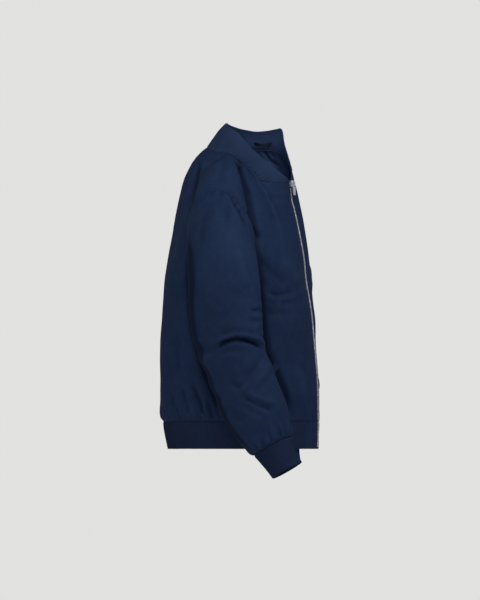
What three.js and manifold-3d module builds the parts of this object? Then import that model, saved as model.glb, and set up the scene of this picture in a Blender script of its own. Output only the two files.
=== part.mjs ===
// A zip-front bomber jacket, filled out and hollow, with its sleeves hanging.
// Millimetres, +Z up. The front faces -Y, and the wearer's right side is at -X.
// Heights in the tables are measured from the bottom edge of the hem. At the end
// everything is lowered by NECK_LEVEL, so that the origin lies inside the neck.

import * as THREE from 'three';
import Module from 'manifold-3d';

const manifoldLibrary = await Module();
manifoldLibrary.setup();
const { Manifold, Mesh: ManifoldMesh } = manifoldLibrary;

// Driving dimensions

const NECK_LEVEL = 620;          // height of the origin above the hem's bottom edge
const CLOTH = 1.6;               // wall of the shell cloth
const KNIT = 2.4;                // wall of the collar, hem band and cuffs
const TAPE = 1.0;                // wall of the zip tape and the hang loop
const SEAM_GAP = 0.16;           // each piece stops this far from a flat seam line
const FOLDED_SEAM_GAP = 0.95;    // the same where a sleeve leaves the body at an angle
const SHOULDER_GAP = 0.5;        // the same along the shoulder seam
const TOP_GAP = 0.4;             // the same at the neck seam
const LAID_ON_GAP = 0.35;        // air between a piece and the panel it lies on

const HEM_SEAM = 59.4;           // height of the seam above the hem band
const UNDERARM = 355;            // height of the lowest point of the armhole
const ZIP_TOP = 585;             // height of the top of the zip at the neck seam
const FRONT_EDGE = 4.6;          // half distance between the two front edges
const BLOCK_EDGE = 60;           // the hem block beside the zip ends this far out
const FRONT_GIRTH = 316;         // from the centre front round to the side seam
const SEAM_CALM = 24;            // folds die out over this distance from a seam

const SIDE_TURN = 0.225;         // weight of |x| in the slightly turned side elevation
const SIDE_DEPTH = 0.974;        // weight of y in it

const LOW_ROWS = 12;             // grid rows between the hem seam and the underarm
const HIGH_ROWS = 11;            // grid rows along the armhole
const FRONT_COLUMNS = 16;
const BACK_COLUMNS = 14;         // on each half of the back
const CAP_RINGS = 6;             // sleeve rings between the armhole and the arm tube
const SLEEVE_COLUMNS = 2 * HIGH_ROWS;

// Small helpers

function named(columns, rows) {
  return rows.map((row) => Object.fromEntries(columns.map((name, i) => [name, row[i]])));
}

// Reads a column of a table at a value of its key, with a smooth monotone curve.
function lookup(table, key, column, at) {
  const last = table.length - 1;
  if (at <= table[0][key]) return table[0][column];
  if (at >= table[last][key]) return table[last][column];
  let i = 0;
  while (at > table[i + 1][key]) i += 1;
  const step = (k) => (table[k + 1][column] - table[k][column]) / (table[k + 1][key] - table[k][key]);
  const slope = (k) => {
    if (k === 0 || k === last) return step(Math.min(k, last - 1));
    const before = step(k - 1);
    const after = step(k);
    return before * after <= 0 ? 0 : (2 * before * after) / (before + after);
  };
  const width = table[i + 1][key] - table[i][key];
  const t = (at - table[i][key]) / width;
  return table[i][column] * (1 + 2 * t) * (1 - t) ** 2
    + table[i + 1][column] * t * t * (3 - 2 * t)
    + width * t * (1 - t) * ((1 - t) * slope(i) - t * slope(i + 1));
}

function smooth(from, to, value) {
  const t = Math.min(1, Math.max(0, (value - from) / (to - from)));
  return t * t * (3 - 2 * t);
}

function curveThrough(points) {
  const curve = new THREE.CatmullRomCurve3(points.map((p) => new THREE.Vector3(...p)), false, 'centripetal');
  curve.arcLengthDivisions = 600;
  return curve;
}

function material(colour, roughness, metalness) {
  return new THREE.MeshStandardMaterial({ color: new THREE.Color(colour), roughness, metalness });
}

const MATERIALS = {
  shell: material('#202b41', 0.62, 0),
  knit: material('#1b2740', 0.85, 0),
  tape: material('#141c30', 0.8, 0),
  metal: material('#b9bdc4', 0.3, 1),
};

// Shape of the body

// Half width, front depth, back depth, squareness of the front, and how far the
// zip edge stands out of the round front, at heights above the hem's bottom edge.
const BODY = named(['height', 'halfWidth', 'front', 'back', 'square', 'ridge'], [
  [0, 186, 174.0, 156.0, 2.0, 9],
  [30, 190, 175.0, 161.5, 2.0, 9],
  [58, 193, 175.6, 166.0, 2.0, 9],
  [72, 199, 175.4, 169.0, 2.0, 9],
  [92, 203, 175.0, 171.8, 2.0, 9],
  [130, 204, 174.4, 172.6, 2.0, 8],
  [180, 203, 171.4, 172.6, 2.0, 8],
  [240, 202, 166.0, 172.4, 2.1, 6],
  [290, 201, 161.4, 169.4, 2.2, 3],
  [335, 200, 154.5, 165.2, 2.2, 1],
  [355, 200, 150.6, 163.4, 2.2, 0],
]);

// Centre front and centre back above the underarm.
const CENTRE_FRONT = named(['height', 'y'], [
  [355, -150.6], [376, -147.4], [416, -143.6], [460, -136], [500, -127.5],
  [530, -120.5], [548, -115.5], [585, -112],
]);
const CENTRE_BACK = named(['height', 'y'], [
  [355, 163.4], [416, 157], [460, 149], [504, 141], [548, 132.5],
  [570, 127.5], [592, 121], [614, 112], [640, 97], [655, 84], [664, 72],
]);

// Armhole from the underarm to the shoulder tip, as |x|, y, height.
const SHOULDER_TIP = [212, 2, 570];
const ARMHOLE_FRONT = curveThrough([
  [200, 0, 355], [197, -31, 368], [190, -59, 400], [186, -72, 440], [185, -74, 475],
  [190, -62, 510], [199, -43, 541], [207, -28, 560], SHOULDER_TIP,
]);
const ARMHOLE_BACK = curveThrough([
  [200, 0, 355], [198, 29, 366], [193, 55, 397], [189, 69, 440], [190, 72, 485],
  [193, 65, 530], [202, 48, 551], [208, 30, 562], SHOULDER_TIP,
]);

// Neck seam from the centre front round to the shoulder seam, as |x|, y, height.
// The wearer's left side of the neck stands higher than the right side.
const NECK_FRONT = {
  right: [[0, -112, 585], [8, -112, 585], [28, -106, 585.5], [52, -84, 587], [70, -58, 592],
    [78, -40, 608], [82, -20, 634], [80, 8, 650]],
  left: [[0, -112, 585], [8, -112, 587], [20, -112, 595], [38, -107, 613], [54, -93, 636],
    [67, -78, 651], [75, -61, 657], [81, -38, 658], [82, -16, 657], [80, 8, 656]],
};
const NECK_BACK = {
  right: [[0, 72, 664], [20, 69.5, 662.5], [38, 64, 660], [66, 42, 654], [80, 8, 650]],
  left: [[0, 72, 664], [20, 69.5, 663.5], [38, 64, 662], [66, 42, 659], [80, 8, 656]],
};

// Free edge of the collar over the same stations.
const COLLAR_EDGE_FRONT = {
  right: [[8, -113.5, 587.5], [24, -110, 597], [46, -94, 614], [62, -70, 636], [69, -46, 657],
    [70, -30, 675], [66, -14, 693]],
  left: [[8, -113.5, 589.5], [15, -113, 600], [26, -109, 618], [36, -99, 648], [43, -88, 680],
    [52, -80, 704], [62, -66, 703], [69, -44, 699.5], [69, -24, 698], [66, -14, 698.5]],
};
const COLLAR_EDGE_BACK = {
  right: [[0, 29, 717], [18, 27.5, 716], [32, 22, 713], [52, 8, 706], [66, -14, 693]],
  left: [[0, 29, 717], [18, 27, 712.5], [32, 22, 708.5], [52, 6, 702.5], [66, -14, 698.5]],
};
const COLLAR_FRONT_STEPS = 12;
const COLLAR_BACK_STEPS = 7;
const COLLAR_ROWS = 3;
const COLLAR_START = 2.3;        // the collar starts this far above the neck seam
const COLLAR_BULGE = 0.09;       // outward bow of the collar as a share of its height
const NECK_MIDDLE = [0, -20, 0];

const SHOULDER_RISE = 5;         // rise of the middle of the shoulder seam over a straight line
const NECK_SHARE = 0.5;          // share of a quarter's upper edge that is neck seam
const CHEST_RIDGE_SPREAD = 62;   // how far the fullness beside the zip spreads

// How fast the form of the upper edge fades out downwards, as powers of the height.
const DEPTH_BEND = { front: 2.2, back: 1.7 };
const SIDEWAYS_BEND = 1.4;

// Large folds of the body in the side elevation: forward position and height of
// the two ends, depth (a ridge when negative) and half width.
const BODY_FOLDS = named(['part', 'side', 'h0', 'z0', 'h1', 'z1', 'depth', 'width'], [
  ['front', 'right', 0, 624, 18, 578, 7, 12],
  ['front', 'right', 18, 578, 27, 520, 9, 15],
  ['front', 'right', 27, 520, 42, 462, 9, 14],
  ['front', 'right', 95, 426, 132, 362, -5, 15],
  ['front', 'right', 132, 362, 143, 328, -4, 14],
  ['front', 'right', 70, 345, 112, 338, 6, 12],
  ['front', 'right', 126, 176, 138, 108, -5, 13],
  ['front', 'left', 6, 612, 24, 560, 7, 13],
  ['front', 'left', 24, 560, 36, 480, 8, 15],
  ['front', 'left', 88, 410, 128, 345, -5, 16],
  ['front', 'left', 66, 322, 108, 330, 6, 13],
  ['front', 'left', 118, 190, 134, 120, -5, 14],
  ['back', 'right', -88, 634, -103, 560, 9, 13],
  ['back', 'right', -103, 560, -112, 470, 8, 14],
  ['back', 'right', -136, 260, -132, 150, 5, 15],
  ['back', 'right', -128, 134, -117, 74, 5, 8],
  ['back', 'right', -104, 140, -82, 80, 6, 8],
  ['back', 'left', -86, 630, -104, 548, 8, 14],
  ['back', 'left', -104, 548, -110, 460, 8, 14],
  ['back', 'left', -130, 280, -138, 165, 5, 16],
  ['back', 'left', -120, 128, -108, 76, 5, 9],
  ['back', 'left', -92, 150, -74, 78, 6, 9],
]);

// Gathers where the body is drawn into the hem band. Their height varies round the
// body by 'uneven', in waves of 'wave' to a radian.
const HEM_GATHER = {
  count: 17, height: 4.2, rise: 14, top: 125, fromZip: 90, uneven: 0.28, wave: 7.3, backTurn: 0.35,
};

// Shape of the sleeves

const INNER_FLATNESS = 0.86;     // the side towards the body is this much flatter

// How the sleeve head leaves the armhole, from the inner side to the outer side:
// weights of the direction, and lengths of the curve's two handles.
const HEAD = {
  sideways: 0.72, sidewaysInside: 0.28, forward: 0.12, down: 0.12, downOutside: 0.42,
  startHandle: 9, startOutside: 62, startPower: 1.2, endHandle: 5, endOutside: 118, endPower: 1.3,
  extraGapInside: 0.8,
};

// The arm tube: height of the ring's centre, |x|, forward position in the side
// elevation, half width sideways, half depth, and the tilt of the ring's axis.
const ARM = named(['along', 'height', 'x', 'forward', 'halfWidth', 'halfDepth', 'tilt'], [
  [0, 330, 264, -33.7, 50, 81.0, 0],
  [34, 296, 265, -31.0, 50, 80.5, 4],
  [66, 264, 266, -27.5, 49.5, 79.0, 7],
  [88, 243, 266, -24.0, 49, 76.5, 10],
  [104, 227, 266, -21.0, 46, 73.0, 14],
  [122, 210, 266, -16.6, 48, 73.5, 18],
  [150, 184, 265, -8.0, 48, 72.5, 20],
  [186, 150, 263, 6.0, 47, 72.0, 23],
  [222, 117, 261, 20.0, 46, 71.5, 25],
  [262, 80, 258, 36.5, 44, 69.5, 26],
  [294, 51, 256, 50.0, 42, 64.5, 27],
  [312, 34, 254, 58.5, 40, 59.0, 28],
  [326, 21, 253, 65.0, 37, 53.0, 28],
  [340, 7, 252, 72.0, 33, 46.5, 28],
]);
// The left sleeve hangs straighter and a little outwards.
const ARM_LEFT = named(['along', 'height', 'x', 'forward', 'halfWidth', 'halfDepth', 'tilt'], [
  [0, 330, 264, -56, 50, 76.0, 0],
  [34, 297, 265, -57.5, 50, 75.5, -1],
  [66, 266, 267, -59, 49.5, 74.0, -1],
  [88, 246, 268, -59.5, 49, 72.5, 0],
  [104, 231, 269, -59, 46, 70.0, 2],
  [122, 214, 270, -57.5, 48, 71.0, 3],
  [150, 187, 273, -55.5, 48, 70.5, 3],
  [186, 153, 277, -53, 47, 70.0, 3],
  [222, 120, 281, -51, 46, 69.0, 3],
  [262, 84.5, 286, -48.5, 44, 66.0, 4],
  [294, 57, 290, -46.5, 42, 60.5, 6],
  [312, 42, 292, -45, 40, 55.5, 7],
  [326, 30.5, 293, -44, 37, 50.5, 8],
  [340, 18, 294, -43, 33, 45.5, 9],
]);
const ARM_RINGS = [
  0, 20, 40, 58, 74, 87, 97, 107, 119, 136, 158, 182, 206, 230, 254, 278, 298, 314, 328, 340,
];

// The cuff continues from the last ring.
const CUFF = named(['along', 'height', 'x', 'forward', 'halfWidth', 'halfDepth', 'tilt'], [
  [0, 6.2, 252, 72.4, 32.5, 45.5, 28],
  [12, -4.4, 251.5, 78.0, 31, 41.5, 28.5],
  [34, -24, 250.5, 89.0, 29.5, 38.0, 29.5],
  [60, -47.4, 249, 104.5, 28.5, 35.8, 30],
]);
const CUFF_LEFT = named(['along', 'height', 'x', 'forward', 'halfWidth', 'halfDepth', 'tilt'], [
  [0, 17.2, 294, -42.9, 32.5, 44.5, 9],
  [12, 6, 295, -41.8, 31, 40.5, 10],
  [34, -13, 297, -39.6, 29.5, 36.8, 12],
  [60, -36.5, 299, -36.5, 28.5, 34.6, 14],
]);
const CUFF_RINGS = [0, 14, 30, 46, 60];

// Gathers drawn into the cuff, between these distances along the arm.
const CUFF_GATHER = { count: 7, height: 3.4, start: 274, full: 322, fall: 324, end: 340, turn: 0.6 };

// Large folds of the sleeve, as points of forward position and height.
const SLEEVE_FOLDS = [
  { points: [[-48, 222], [-33, 236], [-11, 243], [11, 241], [33, 233], [56, 217]], depth: 9, width: 10 },
  { points: [[-40, 258], [-8, 263], [40, 255]], depth: -4, width: 13 },
  { points: [[-30, 212], [4, 219], [44, 200]], depth: -4, width: 12 },
  { points: [[6, 116], [34, 100], [68, 86]], depth: 5, width: 11 },
  { points: [[22, 306], [50, 303]], depth: 4, width: 9 },
  { points: [[-100, 190], [-84, 168], [-64, 150]], depth: 5, width: 12 },
];

// Zip and hang loop

const CHAIN_HALF_WIDTH = 2.8;
const CHAIN_THICKNESS = 3.2;
const CHAIN_OUT = 1.0;           // its middle lies this far in front of the cloth's middle
const TAPE_INNER_EDGE = 0.4;
const TAPE_OUTER_EDGE = 10.5;
const TAPE_CLEARANCE = 0.7;      // room for the tape where the front bends
const TAPE_TURN_IN = 1.6;        // the tape's outer edge turns in towards the neck
const CHAIN_BOTTOM = 3;
const CHAIN_END_GAP = 1.2;       // between the chain and the slider

const SLIDER_HEIGHT = 583;       // height of the slider's middle
const SLIDER = { width: 12, length: 15, depth: 4.4, corner: 4, out: 3.7, turn: -30 };
// The slider's plate ends and the pull's hinge line lies this far from the zip.
const FACE = 5.2;
const HINGE_OUT = FACE + 2.1;
const HINGE_UP = 2.4;
// The arch over the pull's bar: half length and rise, wall, and the room inside.
const ARCH = {
  half: 5.4, rise: 5.6, foot: 1.6, root: 0.6, corner: 3, up: 0.4,
  width: 2.6, wall: 1.5, room: 4.3, roomFoot: 1.9, roomCorner: 2,
};
const ROOT_CLEARANCE = -0.02;    // the room under the arch starts just off the plate
const THROAT = { width: 6.4, length: 9.6, depth: 7, back: 1.2 };
const PULL = {
  width: 9, length: 29, thickness: 1.6, bar: 1.7, window: 3.9, windowLength: 9.2,
  corner: 1, taper: 0.9, endTaper: 1.2, endCorner: 3.4, endRise: 3,
};

const LOOP = named(['forward', 'drop', 'bow'], [
  [33, 0, 0], [38, 1.2, 4.8], [45, 2.6, 9.6], [53, 3.2, 11.4], [61, 2.8, 9.6], [68, 1.4, 4.8], [73, 0, 0],
]);
const LOOP_HEIGHT = 672;
const LOOP_SEARCH_FROM = 640;    // the loop hangs by the seam's part above this height
const LOOP_WIDTH = 6;
const LOOP_INWARD = 6.25;        // from the neck seam in to the ends of the loop

// Pocket welts, along the front from the upper end to the lower end.
const WELT = {
  turnTop: 0.49, heightTop: 186, turnLow: 0.73, heightLow: 78, width: 17, across: 0.78, up: 0.62,
  air: 0.9, steps: 9, columns: 2,
};

// Surfaces

function sidePosition(point) {
  return -SIDE_TURN * Math.abs(point.x) - SIDE_DEPTH * point.y;
}

function distanceToSegment(h, z, fold) {
  const dh = fold.h1 - fold.h0;
  const dz = fold.z1 - fold.z0;
  const t = Math.min(1, Math.max(0, ((h - fold.h0) * dh + (z - fold.z0) * dz) / (dh * dh + dz * dz)));
  return Math.hypot(h - fold.h0 - t * dh, z - fold.z0 - t * dz);
}

// A point of the closed lower body. turn runs from 0 at the centre front or back
// to 1 at the side.
function ringPoint(sign, facing, turn, height) {
  const halfWidth = lookup(BODY, 'height', 'halfWidth', height);
  const across = Math.sin(turn * Math.PI / 2);
  const x = sign * halfWidth * across;
  if (facing === 'back') {
    const behind = lookup(BODY, 'height', 'back', height);
    return new THREE.Vector3(x, behind * Math.cos(turn * Math.PI / 2), height);
  }
  const ridge = lookup(BODY, 'height', 'ridge', height);
  const square = lookup(BODY, 'height', 'square', height);
  const depth = lookup(BODY, 'height', 'front', height) - ridge;
  const round = Math.max(0, 1 - Math.abs(across) ** square) ** (1 / square);
  const full = depth + ridge * Math.exp(-((x / CHEST_RIDGE_SPREAD) ** 2));
  return new THREE.Vector3(x, -full * round, height);
}

function neckCurve(facing, sideName, sign) {
  const table = facing === 'front' ? NECK_FRONT : NECK_BACK;
  return curveThrough(table[sideName].map(([x, y, z]) => [sign * x, y, z]));
}

// The upper edge of a quarter of the body: the neck seam, then the shoulder seam.
function upperEdge(facing, sideName, sign) {
  const neck = neckCurve(facing, sideName, sign);
  const start = neck.getPointAt(1);
  const tip = new THREE.Vector3(...SHOULDER_TIP);
  tip.x *= sign;
  const apart = facing === 'front' ? -SHOULDER_GAP : SHOULDER_GAP;
  return (s) => {
    if (s <= NECK_SHARE) {
      const point = neck.getPointAt(s / NECK_SHARE);
      point.y += apart * smooth(0.85, 1, s / NECK_SHARE);
      return point;
    }
    const t = (s - NECK_SHARE) / (1 - NECK_SHARE);
    const point = start.clone().lerp(tip, t);
    point.z += SHOULDER_RISE * Math.sin(Math.PI * t);
    point.y += apart * (1 - smooth(0.9, 1, t) * 0.4);
    return point;
  };
}

function armholePoint(facing, sign, share) {
  const armhole = facing === 'front' ? ARMHOLE_FRONT : ARMHOLE_BACK;
  const point = armhole.getPointAt(Math.min(1, Math.max(0, share)));
  point.x *= sign;
  return point;
}

function centrePoint(facing, share) {
  const table = facing === 'front' ? CENTRE_FRONT : CENTRE_BACK;
  const height = UNDERARM + (table[table.length - 1].height - UNDERARM) * share;
  return new THREE.Vector3(0, lookup(table, 'height', 'y', height), height);
}

// A quarter of the body. level runs from 0 at the hem seam over 1 at the underarm
// to 2 at the neck and shoulder.
function quarterSurface(facing, sideName) {
  const sign = sideName === 'right' ? -1 : 1;
  const edge = upperEdge(facing, sideName, sign);
  const folds = BODY_FOLDS.filter((fold) => fold.part === facing && fold.side === sideName);
  const plain = (s, level) => {
    if (level <= 1) return ringPoint(sign, facing, s, HEM_SEAM + (UNDERARM - HEM_SEAM) * level);
    const share = level - 1;
    const chord = centrePoint(facing, share).lerp(armholePoint(facing, sign, share), s);
    const low = ringPoint(sign, facing, s, UNDERARM)
      .sub(ringPoint(sign, facing, 0, UNDERARM).lerp(ringPoint(sign, facing, 1, UNDERARM), s));
    const high = edge(s).sub(edge(0).lerp(edge(1), s));
    const bend = share ** DEPTH_BEND[facing];
    const fullness = (centrePoint(facing, share).y - armholePoint(facing, sign, share).y)
      / centrePoint(facing, 0).y;
    chord.x += low.x * (1 - share) + high.x * share ** SIDEWAYS_BEND;
    chord.y += low.y * fullness * (1 - bend) + high.y * bend;
    chord.z += high.z * share;
    return chord;
  };
  return (s, level) => {
    const point = plain(s, level);
    const step = 0.01;
    const alongS = plain(Math.min(1, s + step), level).sub(plain(Math.max(0, s - step), level));
    const up = Math.min(2, level + step);
    const down = Math.max(0, level - step);
    const alongLevel = plain(s, up).sub(plain(s, down));
    const normal = alongS.cross(alongLevel).normalize();
    if (normal.y * (facing === 'front' ? -1 : 1) < 0 && Math.abs(normal.y) > 0.05) normal.negate();
    if (normal.x * sign < 0 && Math.abs(normal.y) <= 0.05) normal.negate();
    let push = 0;
    const h = sidePosition(point);
    for (const fold of folds) {
      push -= fold.depth * Math.exp(-((distanceToSegment(h, point.z, fold) / fold.width) ** 2));
    }
    if (point.z < HEM_GATHER.top) {
      const round = s * Math.PI / 2 + (facing === 'back' ? HEM_GATHER.backTurn : 0);
      const swell = smooth(HEM_SEAM, HEM_SEAM + HEM_GATHER.rise, point.z)
        * (1 - smooth(HEM_SEAM + HEM_GATHER.rise, HEM_GATHER.top, point.z));
      const calm = facing === 'front' ? smooth(0, HEM_GATHER.fromZip, Math.abs(point.x)) : 1;
      const uneven = 1 + HEM_GATHER.uneven * (Math.sin(round * HEM_GATHER.wave + sign) - 1);
      push += HEM_GATHER.height * swell * calm * uneven * Math.sin(round * HEM_GATHER.count);
    }
    // Folds and gathers die out at the seams, so that the seam lines stay true.
    const rim = Math.min(
      Math.min(s, 1 - s) * FRONT_GIRTH, level * (UNDERARM - HEM_SEAM), (2 - level) * (ZIP_TOP - UNDERARM));
    return point.addScaledVector(normal, push * smooth(0, SEAM_CALM, rim));
  };
}

// Turns a grid of middle points into a closed wall.
function wall(grid, thickness, around = false) {
  const rows = grid.length;
  const columns = grid[0].length;
  const wrap = (c) => (around ? (c + columns) % columns : Math.min(columns - 1, Math.max(0, c)));
  const normals = grid.map((row, r) => row.map((_, c) => {
    const alongRow = new THREE.Vector3().subVectors(grid[r][wrap(c + 1)], grid[r][wrap(c - 1)]);
    const below = grid[Math.max(0, r - 1)][c];
    const above = grid[Math.min(rows - 1, r + 1)][c];
    return alongRow.cross(new THREE.Vector3().subVectors(above, below)).normalize();
  }));
  const positions = [];
  for (const side of [1, -1]) {
    for (let r = 0; r < rows; r += 1) {
      for (let c = 0; c < columns; c += 1) {
        const p = grid[r][c].clone().addScaledVector(normals[r][c], side * thickness / 2);
        positions.push(p.x, p.y, p.z);
      }
    }
  }
  const outer = (r, c) => r * columns + wrap(c);
  const inner = (r, c) => rows * columns + r * columns + wrap(c);
  const index = [];
  const quad = (a, b, c, d) => index.push(a, b, c, a, c, d);
  const lastColumn = around ? columns : columns - 1;
  for (let r = 0; r < rows - 1; r += 1) {
    for (let c = 0; c < lastColumn; c += 1) {
      quad(outer(r, c), outer(r, c + 1), outer(r + 1, c + 1), outer(r + 1, c));
      quad(inner(r, c), inner(r + 1, c), inner(r + 1, c + 1), inner(r, c + 1));
    }
  }
  for (let c = 0; c < lastColumn; c += 1) {
    quad(inner(0, c), inner(0, c + 1), outer(0, c + 1), outer(0, c));
    quad(outer(rows - 1, c), outer(rows - 1, c + 1), inner(rows - 1, c + 1), inner(rows - 1, c));
  }
  if (!around) {
    for (let r = 0; r < rows - 1; r += 1) {
      quad(outer(r, 0), outer(r + 1, 0), inner(r + 1, 0), inner(r, 0));
      const last = columns - 1;
      quad(inner(r, last), inner(r + 1, last), outer(r + 1, last), outer(r, last));
    }
  }
  const geometry = new THREE.BufferGeometry();
  geometry.setAttribute('position', new THREE.Float32BufferAttribute(positions, 3));
  geometry.setIndex(index);
  return geometry;
}

// A grid whose rows run the other way gives a wall that faces the other way.
function faced(grid, reversed) {
  return reversed ? grid.map((row) => [...row].reverse()) : grid;
}

function movedAlong(grid, distance) {
  const rows = grid.length;
  const columns = grid[0].length;
  return grid.map((row, r) => row.map((point, c) => {
    const alongRow = new THREE.Vector3()
      .subVectors(row[Math.min(columns - 1, c + 1)], row[Math.max(0, c - 1)]);
    const alongColumn = new THREE.Vector3()
      .subVectors(grid[Math.min(rows - 1, r + 1)][c], grid[Math.max(0, r - 1)][c]);
    return point.clone().addScaledVector(alongRow.cross(alongColumn).normalize(), distance);
  }));
}

// Body panels

function levels() {
  const list = [];
  for (let i = 0; i < LOW_ROWS; i += 1) list.push((i / LOW_ROWS) ** 1.25);
  for (let i = 0; i <= HIGH_ROWS; i += 1) list.push(1 + i / HIGH_ROWS);
  list[0] = SEAM_GAP / (UNDERARM - HEM_SEAM);
  list[list.length - 1] = 2 - TOP_GAP / (ZIP_TOP - UNDERARM);
  return list;
}

function columnsFrom(first, count) {
  const end = 1 - SEAM_GAP / FRONT_GIRTH;
  return Array.from({ length: count + 1 }, (_, i) => first + (end - first) * (i / count));
}

const surfaces = {};
for (const facing of ['front', 'back']) {
  for (const sideName of ['right', 'left']) {
    surfaces[`${facing}_${sideName}`] = quarterSurface(facing, sideName);
  }
}

function frontGrid(sideName) {
  const surface = surfaces[`front_${sideName}`];
  const columns = columnsFrom(FRONT_EDGE / FRONT_GIRTH, FRONT_COLUMNS);
  return faced(levels().map((level) => columns.map((s) => surface(s, level))), sideName === 'right');
}

function backGrid() {
  const columns = columnsFrom(0, BACK_COLUMNS);
  return levels().map((level) => [
    ...[...columns].reverse().map((s) => surfaces.back_left(s, level)),
    ...columns.slice(1).map((s) => surfaces.back_right(s, level)),
  ]);
}

// Hem band and the plain blocks beside the zip

function turnAtWidth(width, height) {
  return Math.asin(width / lookup(BODY, 'height', 'halfWidth', height)) / (Math.PI / 2);
}

const HEM_TOP = HEM_SEAM - 2 * SEAM_GAP - 0.2;
const HEM_HEIGHTS = [1.2, 14, 29, 44, HEM_TOP];
const HEM_FRONT_STEPS = 10;
const HEM_BACK_STEPS = 14;
const BLOCK_HEIGHTS = [0.8, 20, 40, HEM_TOP];
const BLOCK_STEPS = 5;

function hemBandGrid() {
  const gap = 2 * SEAM_GAP;
  return HEM_HEIGHTS.map((height) => {
    const first = turnAtWidth(BLOCK_EDGE + gap, height);
    const front = (sign) => Array.from({ length: HEM_FRONT_STEPS }, (_, i) => (
      ringPoint(sign, 'front', first + (1 - first) * (i / HEM_FRONT_STEPS), height)));
    const back = (sign) => Array.from({ length: HEM_BACK_STEPS + 1 }, (_, i) => (
      ringPoint(sign, 'back', 1 - i / HEM_BACK_STEPS, height)));
    return [
      ...front(1), ...back(1), ...back(-1).reverse().slice(1), ...front(-1).reverse(),
    ];
  });
}

function hemBlockGrid(sign) {
  const grid = BLOCK_HEIGHTS.map((height) => {
    const first = turnAtWidth(FRONT_EDGE, height);
    const last = turnAtWidth(BLOCK_EDGE - 2 * SEAM_GAP, height);
    return Array.from({ length: BLOCK_STEPS + 1 }, (_, i) => (
      ringPoint(sign, 'front', first + (last - first) * (i / BLOCK_STEPS), height)));
  });
  return faced(grid, sign < 0);
}

// Collar

function collarGrid() {
  const seam = [];
  const edge = [];
  const add = (target, points, sign, steps, backward, skipFirst) => {
    const curve = curveThrough(points.map(([x, y, z]) => [sign * x, y, z]));
    for (let i = skipFirst ? 1 : 0; i <= steps; i += 1) {
      target.push(curve.getPointAt(backward ? 1 - i / steps : i / steps));
    }
  };
  const trimmed = (points) => points.slice(1);
  add(seam, trimmed(NECK_FRONT.right), -1, COLLAR_FRONT_STEPS, false, false);
  add(seam, NECK_BACK.right, -1, COLLAR_BACK_STEPS, true, true);
  add(seam, NECK_BACK.left, 1, COLLAR_BACK_STEPS, false, true);
  add(seam, trimmed(NECK_FRONT.left), 1, COLLAR_FRONT_STEPS, true, true);
  add(edge, COLLAR_EDGE_FRONT.right, -1, COLLAR_FRONT_STEPS, false, false);
  add(edge, COLLAR_EDGE_BACK.right, -1, COLLAR_BACK_STEPS, true, true);
  add(edge, COLLAR_EDGE_BACK.left, 1, COLLAR_BACK_STEPS, false, true);
  add(edge, COLLAR_EDGE_FRONT.left, 1, COLLAR_FRONT_STEPS, true, true);
  const centre = new THREE.Vector3(...NECK_MIDDLE);
  const grid = [];
  for (let r = 0; r <= COLLAR_ROWS; r += 1) {
    grid.push(seam.map((low, c) => {
      const high = edge[c];
      const along = high.clone().sub(low);
      const height = along.length();
      const start = Math.min(0.4, COLLAR_START / height);
      const t = start + (1 - start) * (r / COLLAR_ROWS);
      const out = low.clone().sub(centre).setZ(0).normalize();
      return low.clone().addScaledVector(along, t)
        .addScaledVector(out, COLLAR_BULGE * height * t * Math.sin(Math.PI * t));
    }));
  }
  return grid.map((row) => [...row].reverse());
}

// Sleeves

function armRing(table, along, sign) {
  const read = (column) => lookup(table, 'along', column, along);
  const x = sign * read('x');
  const forward = read('forward');
  return {
    centre: new THREE.Vector3(x, (-SIDE_TURN * Math.abs(x) - forward) / SIDE_DEPTH, read('height')),
    halfWidth: read('halfWidth'),
    halfDepth: read('halfDepth'),
    tilt: read('tilt') * Math.PI / 180,
  };
}

// Angle 0 is the outer side, a quarter turn is the front.
function tubePoint(ring, sign, angle) {
  const inward = Math.cos(angle) < 0 ? INNER_FLATNESS : 1;
  const x = sign * ring.halfWidth * Math.cos(angle) * inward;
  const depth = ring.halfDepth * Math.sin(angle);
  return ring.centre.clone().add(new THREE.Vector3(
    x,
    -depth * Math.cos(ring.tilt),
    depth * Math.sin(ring.tilt),
  ));
}

function sleeveFoldPush(point) {
  const h = sidePosition(point);
  let push = 0;
  for (const fold of SLEEVE_FOLDS) {
    let nearest = Infinity;
    for (let i = 0; i < fold.points.length - 1; i += 1) {
      const [h0, z0] = fold.points[i];
      const [h1, z1] = fold.points[i + 1];
      nearest = Math.min(nearest, distanceToSegment(h, point.z, { h0, z0, h1, z1 }));
    }
    push -= fold.depth * Math.exp(-((nearest / fold.width) ** 2));
  }
  return push;
}

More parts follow.
